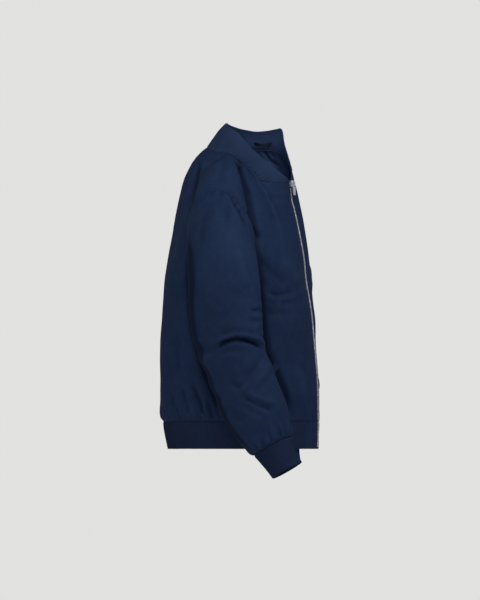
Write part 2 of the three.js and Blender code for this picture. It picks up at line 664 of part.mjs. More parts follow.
function sleeveGrid(sideName) {
  const sign = sideName === 'right' ? -1 : 1;
  const table = sideName === 'right' ? ARM : ARM_LEFT;
  const angles = Array.from({ length: SLEEVE_COLUMNS }, (_, j) => (j / SLEEVE_COLUMNS) * 2 * Math.PI);
  const first = armRing(table, 0, sign);
  const grid = [];
  const arcs = angles.map((angle, j) => {
    const front = j <= HIGH_ROWS;
    const share = front ? 1 - j / HIGH_ROWS : (j - HIGH_ROWS) / HIGH_ROWS;
    const start = armholePoint(front ? 'front' : 'back', sign, share);
    const outer = (1 + Math.cos(angle)) / 2;
    const leave = new THREE.Vector3(
      sign * (HEAD.sideways + HEAD.sidewaysInside * (1 - outer)),
      -HEAD.forward * Math.max(0, Math.sin(angle)),
      -HEAD.down - HEAD.downOutside * outer,
    ).normalize();
    const from = start.addScaledVector(leave, FOLDED_SEAM_GAP + HEAD.extraGapInside * (1 - outer));
    const to = tubePoint(first, sign, angle);
    return new THREE.CubicBezierCurve3(
      from,
      from.clone().addScaledVector(leave, HEAD.startHandle + HEAD.startOutside * outer ** HEAD.startPower),
      to.clone().add(new THREE.Vector3(0, 0, HEAD.endHandle + HEAD.endOutside * outer ** HEAD.endPower)),
      to,
    );
  });
  for (let k = 0; k < CAP_RINGS; k += 1) {
    const t = k === 0 ? 0 : (k / CAP_RINGS) ** 1.1;
    grid.push(arcs.map((arc) => arc.getPoint(t)));
  }
  for (const along of ARM_RINGS) {
    const ring = armRing(table, along, sign);
    grid.push(angles.map((angle) => {
      const point = tubePoint(ring, sign, angle);
      const out = point.clone().sub(ring.centre);
      out.x /= ring.halfWidth;
      out.y /= ring.halfDepth;
      out.z /= ring.halfDepth;
      out.normalize();
      const outer = smooth(-0.5, 0.1, Math.cos(angle));
      let push = sleeveFoldPush(point) * outer;
      const gather = smooth(CUFF_GATHER.start, CUFF_GATHER.full, along)
        * (1 - smooth(CUFF_GATHER.fall, CUFF_GATHER.end, along));
      push += CUFF_GATHER.height * gather
        * Math.sin(angle * CUFF_GATHER.count + sign * CUFF_GATHER.turn);
      return point.addScaledVector(out, push);
    }));
  }
  // The rings run downwards, so the two sides need opposite orders.
  return faced(grid, sign > 0);
}

function cuffGrid(sideName) {
  const sign = sideName === 'right' ? -1 : 1;
  const table = sideName === 'right' ? CUFF : CUFF_LEFT;
  const grid = CUFF_RINGS.map((along) => {
    const ring = armRing(table, along, sign);
    return Array.from({ length: SLEEVE_COLUMNS }, (_, j) => (
      tubePoint(ring, sign, (j / SLEEVE_COLUMNS) * 2 * Math.PI)));
  });
  return faced(grid, sign > 0);
}

// Zip

// Points of the front edges at any distance from the centre, at any height.
function frontLine(sideName, width, height) {
  if (height <= HEM_SEAM + 1) {
    return ringPoint(sideName === 'right' ? -1 : 1, 'front', turnAtWidth(width, height), height);
  }
  const level = height <= UNDERARM
    ? (height - HEM_SEAM) / (UNDERARM - HEM_SEAM)
    : 1 + (height - UNDERARM) / (ZIP_TOP - UNDERARM);
  return surfaces[`front_${sideName}`](width / FRONT_GIRTH, Math.min(level, 2));
}

const ZIP_HEIGHTS = [
  CHAIN_BOTTOM, 30, 57, 62, 86, 112, 140, 172, 206, 240, 272, 302, 330, 354, 380, 416, 454, 490, 524, 552,
];
const TAPE_TOP = ZIP_TOP - 2;

function tapeGrid(sideName) {
  const inward = CLOTH / 2 + LAID_ON_GAP + TAPE / 2 + TAPE_CLEARANCE;
  const widths = [TAPE_INNER_EDGE, FRONT_EDGE, 7.5, TAPE_OUTER_EDGE];
  const grid = [...ZIP_HEIGHTS, TAPE_TOP].map((height) => widths.map((width) => {
    const point = frontLine(sideName, width, height);
    point.y += inward + TAPE_TURN_IN * smooth(480, ZIP_TOP, height) * (width / TAPE_OUTER_EDGE);
    return point;
  }));
  return faced(grid, sideName === 'right');
}

function chainGrid() {
  const widths = [-CHAIN_HALF_WIDTH, CHAIN_HALF_WIDTH];
  const top = SLIDER_HEIGHT - SLIDER.length / 2 - CHAIN_END_GAP;
  return [...ZIP_HEIGHTS, top].map((height) => widths.map((width) => {
    const point = frontLine(width < 0 ? 'right' : 'left', TAPE_INNER_EDGE, height);
    return new THREE.Vector3(width, point.y - CHAIN_OUT, height);
  }));
}

// Slider and pull tab

function manifoldOf(geometry) {
  const position = geometry.attributes.position;
  const keys = new Map();
  const vertices = [];
  const map = [];
  for (let i = 0; i < position.count; i += 1) {
    const p = [position.getX(i), position.getY(i), position.getZ(i)];
    const key = p.map((v) => v.toFixed(4)).join(',');
    if (!keys.has(key)) {
      keys.set(key, vertices.length / 3);
      vertices.push(...p);
    }
    map.push(keys.get(key));
  }
  const index = geometry.index ? Array.from(geometry.index.array) : map.map((_, i) => i);
  const mesh = new ManifoldMesh({
    numProp: 3,
    vertProperties: new Float32Array(vertices),
    triVerts: new Uint32Array(index.map((i) => map[i])),
  });
  return new Manifold(mesh);
}

function geometryOf(solid) {
  const mesh = solid.getMesh();
  const geometry = new THREE.BufferGeometry();
  const positions = [];
  for (let i = 0; i < mesh.vertProperties.length; i += mesh.numProp) {
    positions.push(mesh.vertProperties[i], mesh.vertProperties[i + 1], mesh.vertProperties[i + 2]);
  }
  geometry.setAttribute('position', new THREE.Float32BufferAttribute(positions, 3));
  geometry.setIndex(Array.from(mesh.triVerts));
  return geometry;
}

function extruded(shape, depth) {
  const geometry = new THREE.ExtrudeGeometry(shape, { depth, bevelEnabled: false, curveSegments: 5 });
  geometry.translate(0, 0, -depth / 2);
  return geometry;
}

function roundedRectangle(width, height, radius) {
  const shape = new THREE.Shape();
  const w = width / 2;
  const h = height / 2;
  shape.moveTo(-w + radius, -h);
  shape.lineTo(w - radius, -h);
  shape.quadraticCurveTo(w, -h, w, -h + radius);
  shape.lineTo(w, h - radius);
  shape.quadraticCurveTo(w, h, w - radius, h);
  shape.lineTo(-w + radius, h);
  shape.quadraticCurveTo(-w, h, -w, h - radius);
  shape.lineTo(-w, -h + radius);
  shape.quadraticCurveTo(-w, -h, -w + radius, -h);
  return shape;
}

const sliderFoot = frontLine('left', TAPE_INNER_EDGE, SLIDER_HEIGHT);
const sliderLean = (() => {
  const top = frontLine('left', TAPE_INNER_EDGE, SLIDER_HEIGHT + 7);
  const low = frontLine('left', TAPE_INNER_EDGE, SLIDER_HEIGHT - 30);
  return Math.atan2(top.y - low.y, top.z - low.z);
})();

// The slider's frame: middle of its face, turned a little to the wearer's right.
const sliderPlace = (() => {
  const foot = sliderFoot;
  const lean = sliderLean;
  const place = new THREE.Matrix4().makeTranslation(0, foot.y - SLIDER.out, SLIDER_HEIGHT);
  place.multiply(new THREE.Matrix4().makeRotationZ(SLIDER.turn * Math.PI / 180));
  place.multiply(new THREE.Matrix4().makeRotationX(-lean));
  return place;
})();

// In the slider's own frame x is its width, z its length, and -y points outwards.
function sliderGeometry() {
  const outline = roundedRectangle(SLIDER.width, SLIDER.length, SLIDER.corner);
  const plate = extruded(outline, SLIDER.depth);
  plate.rotateX(Math.PI / 2);
  plate.translate(0, -(FACE - SLIDER.depth / 2), 0);
  const arch = new THREE.Shape();
  const { half, root, foot, rise, corner } = ARCH;
  arch.moveTo(-half, root);
  arch.lineTo(-half, -foot);
  arch.quadraticCurveTo(-half, -rise, -half + corner, -rise);
  arch.lineTo(half - corner, -rise);
  arch.quadraticCurveTo(half, -rise, half, -foot);
  arch.lineTo(half, root);
  arch.lineTo(-half, root);
  const hole = new THREE.Path();
  const inside = half - ARCH.wall;
  hole.moveTo(-inside, ROOT_CLEARANCE);
  hole.lineTo(inside, ROOT_CLEARANCE);
  hole.lineTo(inside, -ARCH.roomFoot);
  hole.quadraticCurveTo(inside, -ARCH.room, inside - ARCH.roomCorner, -ARCH.room);
  hole.lineTo(-inside + ARCH.roomCorner, -ARCH.room);
  hole.quadraticCurveTo(-inside, -ARCH.room, -inside, -ARCH.roomFoot);
  hole.lineTo(-inside, ROOT_CLEARANCE);
  arch.holes.push(hole);
  const bridge = extruded(arch, ARCH.width);
  // The arch is drawn with its length along x and its rise along -y.
  bridge.rotateY(Math.PI / 2);
  bridge.applyMatrix4(new THREE.Matrix4().makeTranslation(0, -FACE, ARCH.up));
  plate.applyMatrix4(sliderPlace);
  bridge.applyMatrix4(sliderPlace);
  // The throat reaches back between the front edges to the tapes.
  const throat = new THREE.BoxGeometry(THROAT.width, THROAT.depth, THROAT.length);
  throat.translate(0, THROAT.back - THROAT.depth / 2, 0);
  throat.rotateX(-sliderLean);
  throat.translate(0, sliderFoot.y, SLIDER_HEIGHT);
  return geometryOf(Manifold.union([manifoldOf(plate), manifoldOf(bridge), manifoldOf(throat)]));
}

// A flat tab with a window: its top bar lies under the slider's arch.
function pullGeometry() {
  const shape = new THREE.Shape();
  const half = PULL.width / 2;
  const top = PULL.bar / 2;
  const low = top - PULL.length;
  const { corner, taper, endTaper, endCorner, endRise } = PULL;
  shape.moveTo(-half + corner, top);
  shape.lineTo(half - corner, top);
  shape.quadraticCurveTo(half, top, half, top - corner);
  shape.lineTo(half - taper, low + endRise);
  shape.quadraticCurveTo(half - endTaper, low, half - endCorner, low);
  shape.lineTo(-half + endCorner, low);
  shape.quadraticCurveTo(-half + endTaper, low, -half + taper, low + endRise);
  shape.lineTo(-half, top - corner);
  shape.quadraticCurveTo(-half, top, -half + corner, top);
  const window = new THREE.Path();
  const w = PULL.window / 2;
  const windowTop = top - PULL.bar;
  const windowLow = windowTop - PULL.windowLength;
  window.moveTo(-w, windowTop);
  window.lineTo(-w, windowLow + corner);
  window.quadraticCurveTo(-w, windowLow, -w + corner, windowLow);
  window.lineTo(w - corner, windowLow);
  window.quadraticCurveTo(w, windowLow, w, windowLow + corner);
  window.lineTo(w, windowTop);
  window.lineTo(-w, windowTop);
  shape.holes.push(window);
  const tab = extruded(shape, PULL.thickness);
  tab.rotateX(Math.PI / 2);
  tab.translate(0, -HINGE_OUT, HINGE_UP);
  const geometry = geometryOf(manifoldOf(tab));
  geometry.applyMatrix4(sliderPlace);
  return geometry;
}

// Pieces that lie on a panel

function weltGrid(sideName) {
  const surface = surfaces[`front_${sideName}`];
  const grid = [];
  for (let i = 0; i <= WELT.steps; i += 1) {
    const t = i / WELT.steps;
    const turn = WELT.turnTop + (WELT.turnLow - WELT.turnTop) * t;
    const height = WELT.heightTop + (WELT.heightLow - WELT.heightTop) * t;
    const row = [];
    for (let k = 0; k <= WELT.columns; k += 1) {
      const offset = (k / WELT.columns - 0.5) * WELT.width;
      const s = turn + (offset * WELT.across) / FRONT_GIRTH;
      const z = height + offset * WELT.up;
      row.push(surface(s, (z - HEM_SEAM) / (UNDERARM - HEM_SEAM)));
    }
    grid.push(row);
  }
  const facing = faced(grid, sideName === 'left');
  return movedAlong(facing, CLOTH + WELT.air);
}

function loopGrid() {
  const seam = neckCurve('front', 'left', 1);
  const samples = Array.from({ length: 200 }, (_, i) => seam.getPointAt(i / 199));
  const high = samples.filter((p) => p.z > LOOP_SEARCH_FROM);
  const rows = LOOP.map(({ forward, drop, bow }) => {
    const off = (p) => Math.abs(SIDE_TURN * p.x - SIDE_DEPTH * p.y - forward);
    const nearest = high.reduce((best, p) => (off(p) < off(best) ? p : best));
    const inward = new THREE.Vector3(...NECK_MIDDLE).sub(nearest).setZ(0).normalize();
    const base = nearest.clone().addScaledVector(inward, LOOP_INWARD + bow);
    return [LOOP_HEIGHT - LOOP_WIDTH / 2, LOOP_HEIGHT + LOOP_WIDTH / 2].map((height) => (
      new THREE.Vector3(base.x, base.y, height - drop)));
  });
  return rows;
}

// Assembly

const jacket = new THREE.Group();

function addPiece(name, geometry, surfaceMaterial) {
  geometry.translate(0, 0, -NECK_LEVEL);
  geometry.computeVertexNormals();
  const mesh = new THREE.Mesh(geometry, surfaceMaterial.clone());
  mesh.name = name;
  jacket.add(mesh);
}

addPiece('front_right', wall(frontGrid('right'), CLOTH), MATERIALS.shell);
addPiece('front_left', wall(frontGrid('left'), CLOTH), MATERIALS.shell);
addPiece('back', wall(backGrid(), CLOTH), MATERIALS.shell);
addPiece('sleeve_right', wall(sleeveGrid('right'), CLOTH, true), MATERIALS.shell);
addPiece('sleeve_left', wall(sleeveGrid('left'), CLOTH, true), MATERIALS.shell);
addPiece('collar', wall(collarGrid(), KNIT), MATERIALS.knit);
addPiece('cuff_right', wall(cuffGrid('right'), KNIT, true), MATERIALS.knit);
addPiece('cuff_left', wall(cuffGrid('left'), KNIT, true), MATERIALS.knit);
addPiece('hem_band', wall(hemBandGrid(), KNIT), MATERIALS.knit);
addPiece('hem_block_right', wall(hemBlockGrid(-1), CLOTH), MATERIALS.shell);
addPiece('hem_block_left', wall(hemBlockGrid(1), CLOTH), MATERIALS.shell);
addPiece('pocket_welt_right', wall(weltGrid('right'), CLOTH), MATERIALS.shell);
addPiece('pocket_welt_left', wall(weltGrid('left'), CLOTH), MATERIALS.shell);
addPiece('zip_tape_right', wall(tapeGrid('right'), TAPE), MATERIALS.tape);
addPiece('zip_tape_left', wall(tapeGrid('left'), TAPE), MATERIALS.tape);
addPiece('zip_chain', wall(chainGrid(), CHAIN_THICKNESS), MATERIALS.metal);
addPiece('zip_slider', sliderGeometry(), MATERIALS.metal);
addPiece('zip_pull', pullGeometry(), MATERIALS.metal);
addPiece('hang_loop', wall(loopGrid(), TAPE), MATERIALS.tape);

export default jacket;
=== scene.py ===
# A zip-front bomber jacket, filled out and hollow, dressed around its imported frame.
# Shapes are worked out in millimetres, with heights measured from the bottom edge of
# the hem, and are turned to metres in the frame's own coordinates when a mesh is made.
# The front faces -Y, and the wearer's right side is at -X.

import math

import bpy
import numpy as np
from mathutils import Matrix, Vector


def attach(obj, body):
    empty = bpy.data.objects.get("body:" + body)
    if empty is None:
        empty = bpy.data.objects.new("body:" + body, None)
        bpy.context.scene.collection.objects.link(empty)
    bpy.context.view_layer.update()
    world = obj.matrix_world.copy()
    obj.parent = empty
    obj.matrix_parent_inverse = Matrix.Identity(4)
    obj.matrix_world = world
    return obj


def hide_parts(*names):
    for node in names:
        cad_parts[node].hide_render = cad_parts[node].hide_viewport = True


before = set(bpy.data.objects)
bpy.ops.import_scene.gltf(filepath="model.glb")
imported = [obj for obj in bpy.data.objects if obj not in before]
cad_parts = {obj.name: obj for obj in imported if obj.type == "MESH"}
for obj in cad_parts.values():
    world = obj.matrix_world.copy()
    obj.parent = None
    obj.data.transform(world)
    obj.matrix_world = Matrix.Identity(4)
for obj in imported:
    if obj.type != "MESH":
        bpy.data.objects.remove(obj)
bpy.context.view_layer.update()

# Sizes

NECK_LEVEL = 620.0  # height of the origin above the hem's bottom edge
HEM_SEAM = 59.4  # height of the seam above the hem band
UNDERARM = 355.0  # height of the lowest point of the armhole
ZIP_TOP = 585.0  # height of the top of the zip at the neck seam
FRONT_EDGE = 4.6  # half distance between the two front edges
FRONT_GIRTH = 316  # length of a front round the body, from the centre to the side seam
BACK_GIRTH = 318  # the same for half of the back
NECK_HALF_WIDTH = 82.0  # from the centre to the widest place of the neck seam
BLOCK_EDGE = 60.0  # the hem block beside the zip ends this far out
CLOTH = 1.1  # the shell cloth with its lining
KNIT = 2.4  # collar, hem band and cuffs, folded double
TAPE = 0.9  # zip tape and hang loop
SIDE_TURN, SIDE_DEPTH = 0.225, 0.974  # weights of |x| and y in the side elevation
RIB = 3.0  # pitch of the knitted ribs

# Small helpers


def table(columns, rows):
    return dict(zip(columns.split(), np.array(rows, float).T))


def smooth(start, end, value):
    t = np.clip((value - start) / (end - start), 0, 1)
    return t * t * (3 - 2 * t)


def read(sheet, key, name, at):
    """Reads a column of a table with a smooth monotone curve."""
    x, y = sheet[key], sheet[name]
    step = np.diff(y) / np.diff(x)
    slope = np.concatenate([step[:1], np.zeros(len(y) - 2), step[-1:]])
    product, total = step[:-1] * step[1:], step[:-1] + step[1:]
    same = product > 0
    slope[1:-1][same] = 2 * product[same] / total[same]
    at = np.clip(at, x[0], x[-1])
    i = np.clip(np.searchsorted(x, at, side="right") - 1, 0, len(x) - 2)
    width = x[i + 1] - x[i]
    t = (at - x[i]) / width
    return (
        y[i] * (1 + 2 * t) * (1 - t) ** 2
        + y[i + 1] * t * t * (3 - 2 * t)
        + width * t * (1 - t) * ((1 - t) * slope[i] - t * slope[i + 1])
    )


def curve_through(points):
    """A centripetal curve through the points, read by its share of the length."""
    p = np.array(points, float)
    p = np.vstack([2 * p[0] - p[1], p, 2 * p[-1] - p[-2]])
    samples = []
    for i in range(len(p) - 3):
        a, b, c, d = p[i : i + 4]
        dt = [max(np.linalg.norm(q - r) ** 0.5, 1e-4) for q, r in ((b, a), (c, b), (d, c))]
        t1 = ((b - a) / dt[0] - (c - a) / (dt[0] + dt[1]) + (c - b) / dt[1]) * dt[1]
        t2 = ((c - b) / dt[1] - (d - b) / (dt[1] + dt[2]) + (d - c) / dt[2]) * dt[1]
        t = np.linspace(0, 1, 61)[:, None][(1 if i else 0) :]
        samples.append(b + t1 * t + (3 * (c - b) - 2 * t1 - t2) * t**2 + (2 * (b - c) + t1 + t2) * t**3)
    samples = np.vstack(samples)
    length = np.concatenate([[0], np.cumsum(np.linalg.norm(np.diff(samples, axis=0), axis=1))])

    def at(share):
        where = np.clip(share, 0, 1) * length[-1]
        return np.stack([np.interp(where, length, samples[:, k]) for k in range(3)], -1)

    return at


def lerp(a, b, t):
    return a + (b - a) * t[..., None]


def unit(v):
    return v / np.maximum(np.linalg.norm(v, axis=-1, keepdims=True), 1e-12)


def crumple(points, wave, seed, stretch=(1, 1, 1), count=14):
    """A smooth, uneven field between about -1 and 1, the same on every run."""
    rng = np.random.default_rng(seed)
    total = np.zeros(points.shape[:-1])
    for _ in range(count):
        direction = rng.normal(size=3) * np.array(stretch)
        direction /= np.linalg.norm(direction)
        length = wave * rng.uniform(0.65, 1.7)
        total += np.sin(points @ direction * (2 * np.pi / length) + rng.uniform(0, 2 * np.pi))
    return total / math.sqrt(count)


# Shape of the body, the same sizes as the frame's

BODY = table("height halfWidth front back square ridge", [
    [0, 186, 174.0, 156.0, 2.0, 9],
    [30, 190, 175.0, 161.5, 2.0, 9],
    [58, 193, 175.6, 166.0, 2.0, 9],
    [72, 199, 175.4, 169.0, 2.0, 9],
    [92, 203, 175.0, 171.8, 2.0, 9],
    [130, 204, 174.4, 172.6, 2.0, 8],
    [180, 203, 171.4, 172.6, 2.0, 8],
    [240, 202, 166.0, 172.4, 2.1, 6],
    [290, 201, 161.4, 169.4, 2.2, 3],
    [335, 200, 154.5, 165.2, 2.2, 1],
    [355, 200, 150.6, 163.4, 2.2, 0],
])
CENTRE = {
    "front": table("height y", [
        [355, -150.6], [376, -147.4], [416, -143.6], [460, -136], [500, -127.5],
        [530, -120.5], [548, -115.5], [585, -112],
    ]),
    "back": table("height y", [
        [355, 163.4], [416, 157], [460, 149], [504, 141], [548, 132.5],
        [570, 127.5], [592, 121], [614, 112], [640, 97], [655, 84], [664, 72],
    ]),
}
SHOULDER_TIP = [212, 2, 570]
ARMHOLE = {
    "front": curve_through([
        [200, 0, 355], [197, -31, 368], [190, -59, 400], [186, -72, 440], [185, -74, 475],
        [190, -62, 510], [199, -43, 541], [207, -28, 560], SHOULDER_TIP,
    ]),
    "back": curve_through([
        [200, 0, 355], [198, 29, 366], [193, 55, 397], [189, 69, 440], [190, 72, 485],
        [193, 65, 530], [202, 48, 551], [208, 30, 562], SHOULDER_TIP,
    ]),
}
NECK = {
    "front right": [[0, -112, 585], [8, -112, 585], [28, -106, 585.5], [52, -84, 587],
                    [70, -58, 592], [78, -40, 608], [82, -20, 634], [80, 8, 650]],
    "front left": [[0, -112, 585], [8, -112, 587], [20, -112, 595], [38, -107, 613],
                   [54, -93, 636], [67, -78, 651], [75, -61, 657], [81, -38, 658],
                   [82, -16, 657], [80, 8, 656]],
    "back right": [[0, 72, 664], [20, 69.5, 662.5], [38, 64, 660], [66, 42, 654], [80, 8, 650]],
    "back left": [[0, 72, 664], [20, 69.5, 663.5], [38, 64, 662], [66, 42, 659], [80, 8, 656]],
}
COLLAR_EDGE = {
    "front right": [[8, -113.5, 587.5], [24, -110, 597], [46, -94, 614], [62, -70, 636],
                    [69, -46, 657], [70, -30, 675], [66, -14, 693]],
    "front left": [[8, -113.5, 589.5], [15, -113, 600], [26, -109, 618], [36, -99, 648],
                   [43, -88, 680], [52, -80, 704], [62, -66, 703], [69, -44, 699.5],
                   [69, -24, 698], [66, -14, 698.5]],
    "back right": [[0, 29, 717], [18, 27.5, 716], [32, 22, 713], [52, 8, 706], [66, -14, 693]],
    "back left": [[0, 29, 717], [18, 27, 712.5], [32, 22, 708.5], [52, 6, 702.5],
                  [66, -14, 698.5]],
}
SHOULDER_RISE = 5  # rise of the middle of the shoulder seam above a straight line
NECK_SHARE = 0.5  # the neck seam takes this share of a quarter's upper edge

# Sleeves

ARM_COLUMNS = "along height x forward halfWidth halfDepth tilt"
ARM = {
    "right": table(ARM_COLUMNS, [
        [0, 330, 264, -33.7, 50, 81.0, 0],
        [34, 296, 265, -31.0, 50, 80.5, 4],
        [66, 264, 266, -27.5, 49.5, 79.0, 7],
        [88, 243, 266, -24.0, 49, 76.5, 10],
        [104, 227, 266, -21.0, 46, 73.0, 14],
        [122, 210, 266, -16.6, 48, 73.5, 18],
        [150, 184, 265, -8.0, 48, 72.5, 20],
        [186, 150, 263, 6.0, 47, 72.0, 23],
        [222, 117, 261, 20.0, 46, 71.5, 25],
        [262, 80, 258, 36.5, 44, 69.5, 26],
        [294, 51, 256, 50.0, 42, 64.5, 27],
        [312, 34, 254, 58.5, 40, 59.0, 28],
        [326, 21, 253, 65.0, 37, 53.0, 28],
        [340, 7, 252, 72.0, 33, 46.5, 28],
    ]),
    "left": table(ARM_COLUMNS, [
        [0, 330, 264, -56, 50, 76.0, 0],
        [34, 297, 265, -57.5, 50, 75.5, -1],
        [66, 266, 267, -59, 49.5, 74.0, -1],
        [88, 246, 268, -59.5, 49, 72.5, 0],
        [104, 231, 269, -59, 46, 70.0, 2],
        [122, 214, 270, -57.5, 48, 71.0, 3],
        [150, 187, 273, -55.5, 48, 70.5, 3],
        [186, 153, 277, -53, 47, 70.0, 3],
        [222, 120, 281, -51, 46, 69.0, 3],
        [262, 84.5, 286, -48.5, 44, 66.0, 4],
        [294, 57, 290, -46.5, 42, 60.5, 6],
        [312, 42, 292, -45, 40, 55.5, 7],
        [326, 30.5, 293, -44, 37, 50.5, 8],
        [340, 18, 294, -43, 33, 45.5, 9],
    ]),
}
ARM_END = 340
CUFF = {
    "right": table(ARM_COLUMNS, [
        [0, 6.2, 252, 72.4, 32.5, 45.5, 28],
        [12, -4.4, 251.5, 78.0, 31, 41.5, 28.5],
        [34, -24, 250.5, 89.0, 29.5, 38.0, 29.5],
        [60, -47.4, 249, 104.5, 28.5, 35.8, 30],
    ]),
    "left": table(ARM_COLUMNS, [
        [0, 17.2, 294, -42.9, 32.5, 44.5, 9],
        [12, 6, 295, -41.8, 31, 40.5, 10],
        [34, -13, 297, -39.6, 29.5, 36.8, 12],
        [60, -36.5, 299, -36.5, 28.5, 34.6, 14],
    ]),
}

# Creases in the side elevation: points of forward position and height, depth of the
# trough (a ridge when negative), half width, height of the swell beside it as a share
# of the depth, the side that the swell leans to, and how far each end fades out.
CREASE_COLUMNS = "points depth width swell lean fade0 fade1".split()


def creases(*rows):
    return [dict(zip(CREASE_COLUMNS, row)) for row in rows]


FRONT_RIGHT = creases(
    # from the collar seam down beside the sleeve
    ([(-2, 628), (7, 603), (15, 577), (22, 548), (26, 520), (33, 490), (42, 462)],
     9.5, 9.0, 0.07, 0.4, 0, 0.25),
    ([(-3, 628), (6, 603), (15, 581), (24, 566)], 5.6, 3.6, 0.35, 0.7, 0, 0.3),
    ([(20, 494), (31, 482), (46, 460)], 8.0, 6, 0.35, -0.3, 0.25, 0.3),
    # from the head of the sleeve across to the fold
    ([(-16, 560), (-6, 540), (6, 522), (14, 505)], 4.6, 5, 0.4, 0.3, 0.05, 0.3),
    # beside the sleeve, along its front edge as the photo's view shows it
    ([(22, 515), (34, 460), (40, 416), (44, 365), (48, 306), (51, 251), (57, 218), (66, 190),
      (81, 152), (99, 116), (116, 76)], 6.5, 9, 0, 0, 0.1, 0),
    # soft draws across the chest towards the zip
    ([(44, 585), (66, 577), (92, 578)], 1.6, 6, 0.5, 0, 0.3, 0.4),
    ([(50, 560), (72, 548), (96, 549)], 1.5, 6, 0.5, 0, 0.4, 0.4),
    ([(58, 512), (84, 500), (112, 500)], 1.3, 8, 0.5, 0, 0.4, 0.4),
    # the draw from the sleeve down to the zip at the waist
    ([(95, 426), (113, 394), (132, 362)], -5, 14, 0, 0, 0.3, 0.2),
    ([(132, 362), (143, 328), (147, 296)], -3.6, 11, 0, 0, 0.2, 0.3),
    ([(44, 418), (66, 398), (92, 372), (112, 350)], 3.4, 10, 0.3, 0.4, 0.2, 0.4),
    ([(64, 346), (84, 337), (106, 344), (120, 352)], 4.6, 6.5, 0.5, -0.4, 0.25, 0.3),
    ([(74, 328), (98, 320), (118, 330)], 2.6, 6, 0.5, 0, 0.3, 0.4),
    ([(56, 306), (80, 296), (108, 300)], 1.8, 8, 0.4, 0, 0.3, 0.4),
    # long folds down to the hem block
    ([(126, 176), (132, 142), (138, 108)], -4.5, 11, 0, 0, 0.3, 0.3),
    ([(112, 190), (119, 150), (124, 108), (126, 76)], 2.6, 8, 0.3, 0.4, 0.4, 0.15),
    ([(148, 168), (150, 128), (151, 84)], 1.8, 7, 0.4, 0, 0.4, 0.2),
    ([(70, 214), (84, 168), (100, 126), (106, 86)], 2.4, 9, 0.4, -0.3, 0.4, 0.2),
    ([(110, 268), (126, 232), (138, 196)], 2.0, 11, 0.4, 0, 0.4, 0.4),
    ([(96, 148), (102, 112), (104, 72)], 2.2, 6, 0.5, 0, 0.4, 0.1),
)
FRONT_LEFT = creases(
    ([(6, 612), (24, 560), (30, 520), (36, 480)], 8.0, 11, 0.15, 0.3, 0.1, 0.3),
    ([(30, 500), (42, 440), (50, 380), (52, 310), (55, 240), (58, 170), (62, 100)],
     5.0, 10, 0, 0, 0.15, 0.15),
    # short folds just below the neck, seen on the inside too
    ([(17, 654), (26, 636), (50, 618)], -3.2, 4, 0.3, 0, 0.05, 0.3),
    ([(32, 650), (39, 638)], -2.6, 3.5, 0.3, 0, 0.1, 0.4),
    ([(4, 610), (14, 584), (24, 560)], 3.0, 5, 0.5, 0.5, 0.1, 0.4),
    ([(28, 470), (40, 456), (52, 436)], 4.2, 7, 0.4, -0.3, 0.3, 0.35),
    ([(42, 572), (66, 560), (90, 562)], 1.6, 7, 0.5, 0, 0.3, 0.4),
    ([(60, 500), (86, 486), (110, 488)], 1.4, 8, 0.5, 0, 0.4, 0.4),
    ([(88, 410), (108, 378), (128, 345)], -5, 15, 0, 0, 0.3, 0.3),
    ([(66, 322), (88, 318), (108, 330)], 4.8, 8, 0.4, -0.3, 0.25, 0.3),
    ([(52, 402), (78, 380), (104, 356)], 3.0, 10, 0.3, 0.3, 0.3, 0.4),
    ([(60, 292), (86, 284), (112, 292)], 2.0, 8, 0.4, 0, 0.3, 0.4),
    ([(118, 190), (126, 155), (134, 120)], -4.5, 12, 0, 0, 0.3, 0.3),
    ([(104, 204), (112, 160), (120, 112), (122, 76)], 2.6, 8, 0.3, 0.4, 0.4, 0.15),
    ([(142, 172), (146, 132), (148, 88)], 1.8, 7, 0.4, 0, 0.4, 0.2),
    ([(66, 210), (80, 160), (92, 118), (98, 80)], 2.4, 9, 0.4, -0.3, 0.4, 0.2),
)
BACK_RIGHT = creases(
    ([(-89, 634), (-96, 600), (-103, 560), (-108, 528), (-110, 500)], 6.5, 5.0, 0.2, -0.3, 0.15, 0.15),
    # beside the sleeve, along its back edge as the photo's view shows it
    ([(-107, 530), (-112, 480), (-114.5, 438), (-114.5, 350), (-112, 306), (-106, 262), (-95, 213),
      (-77, 163), (-59, 119), (-40, 75)], 8.0, 6.5, 0.1, 0.4, 0.1, 0.05),
    ([(-104, 590), (-112, 545), (-119, 490), (-122, 430)], 3.2, 7, 0.4, -0.4, 0.3, 0.4),
    ([(-108, 470), (-118, 400), (-122, 320)], 3.0, 10, 0.3, 0, 0.3, 0.4),
    ([(-136, 260), (-135, 205), (-132, 150)], 4.6, 12, 0.3, 0.3, 0.35, 0.35),
    ([(-150, 262), (-150, 205), (-146, 160)], 2.0, 9, 0.3, 0, 0.4, 0.4),
    ([(-116, 250), (-108, 200), (-96, 152)], 3.2, 10, 0.3, -0.3, 0.4, 0.35),
    ([(-130, 138), (-125, 108), (-117, 72)], 5.0, 5.5, 0.55, 0.2, 0.35, 0.1),
    ([(-107, 146), (-95, 112), (-82, 74)], 5.4, 6, 0.55, 0.2, 0.35, 0.1),
    ([(-141, 96), (-136, 78), (-130, 64)], 3.4, 4.5, 0.5, 0, 0.35, 0.1),
    ([(-70, 108), (-65, 88), (-62, 70)], 3.8, 5, 0.5, 0, 0.35, 0.1),
    ([(-152, 128), (-150, 98), (-148, 68)], 2.4, 6, 0.5, 0, 0.4, 0.1),
    ([(-92, 118), (-85, 94), (-78, 70)], 2.6, 5, 0.5, 0, 0.4, 0.1),
)
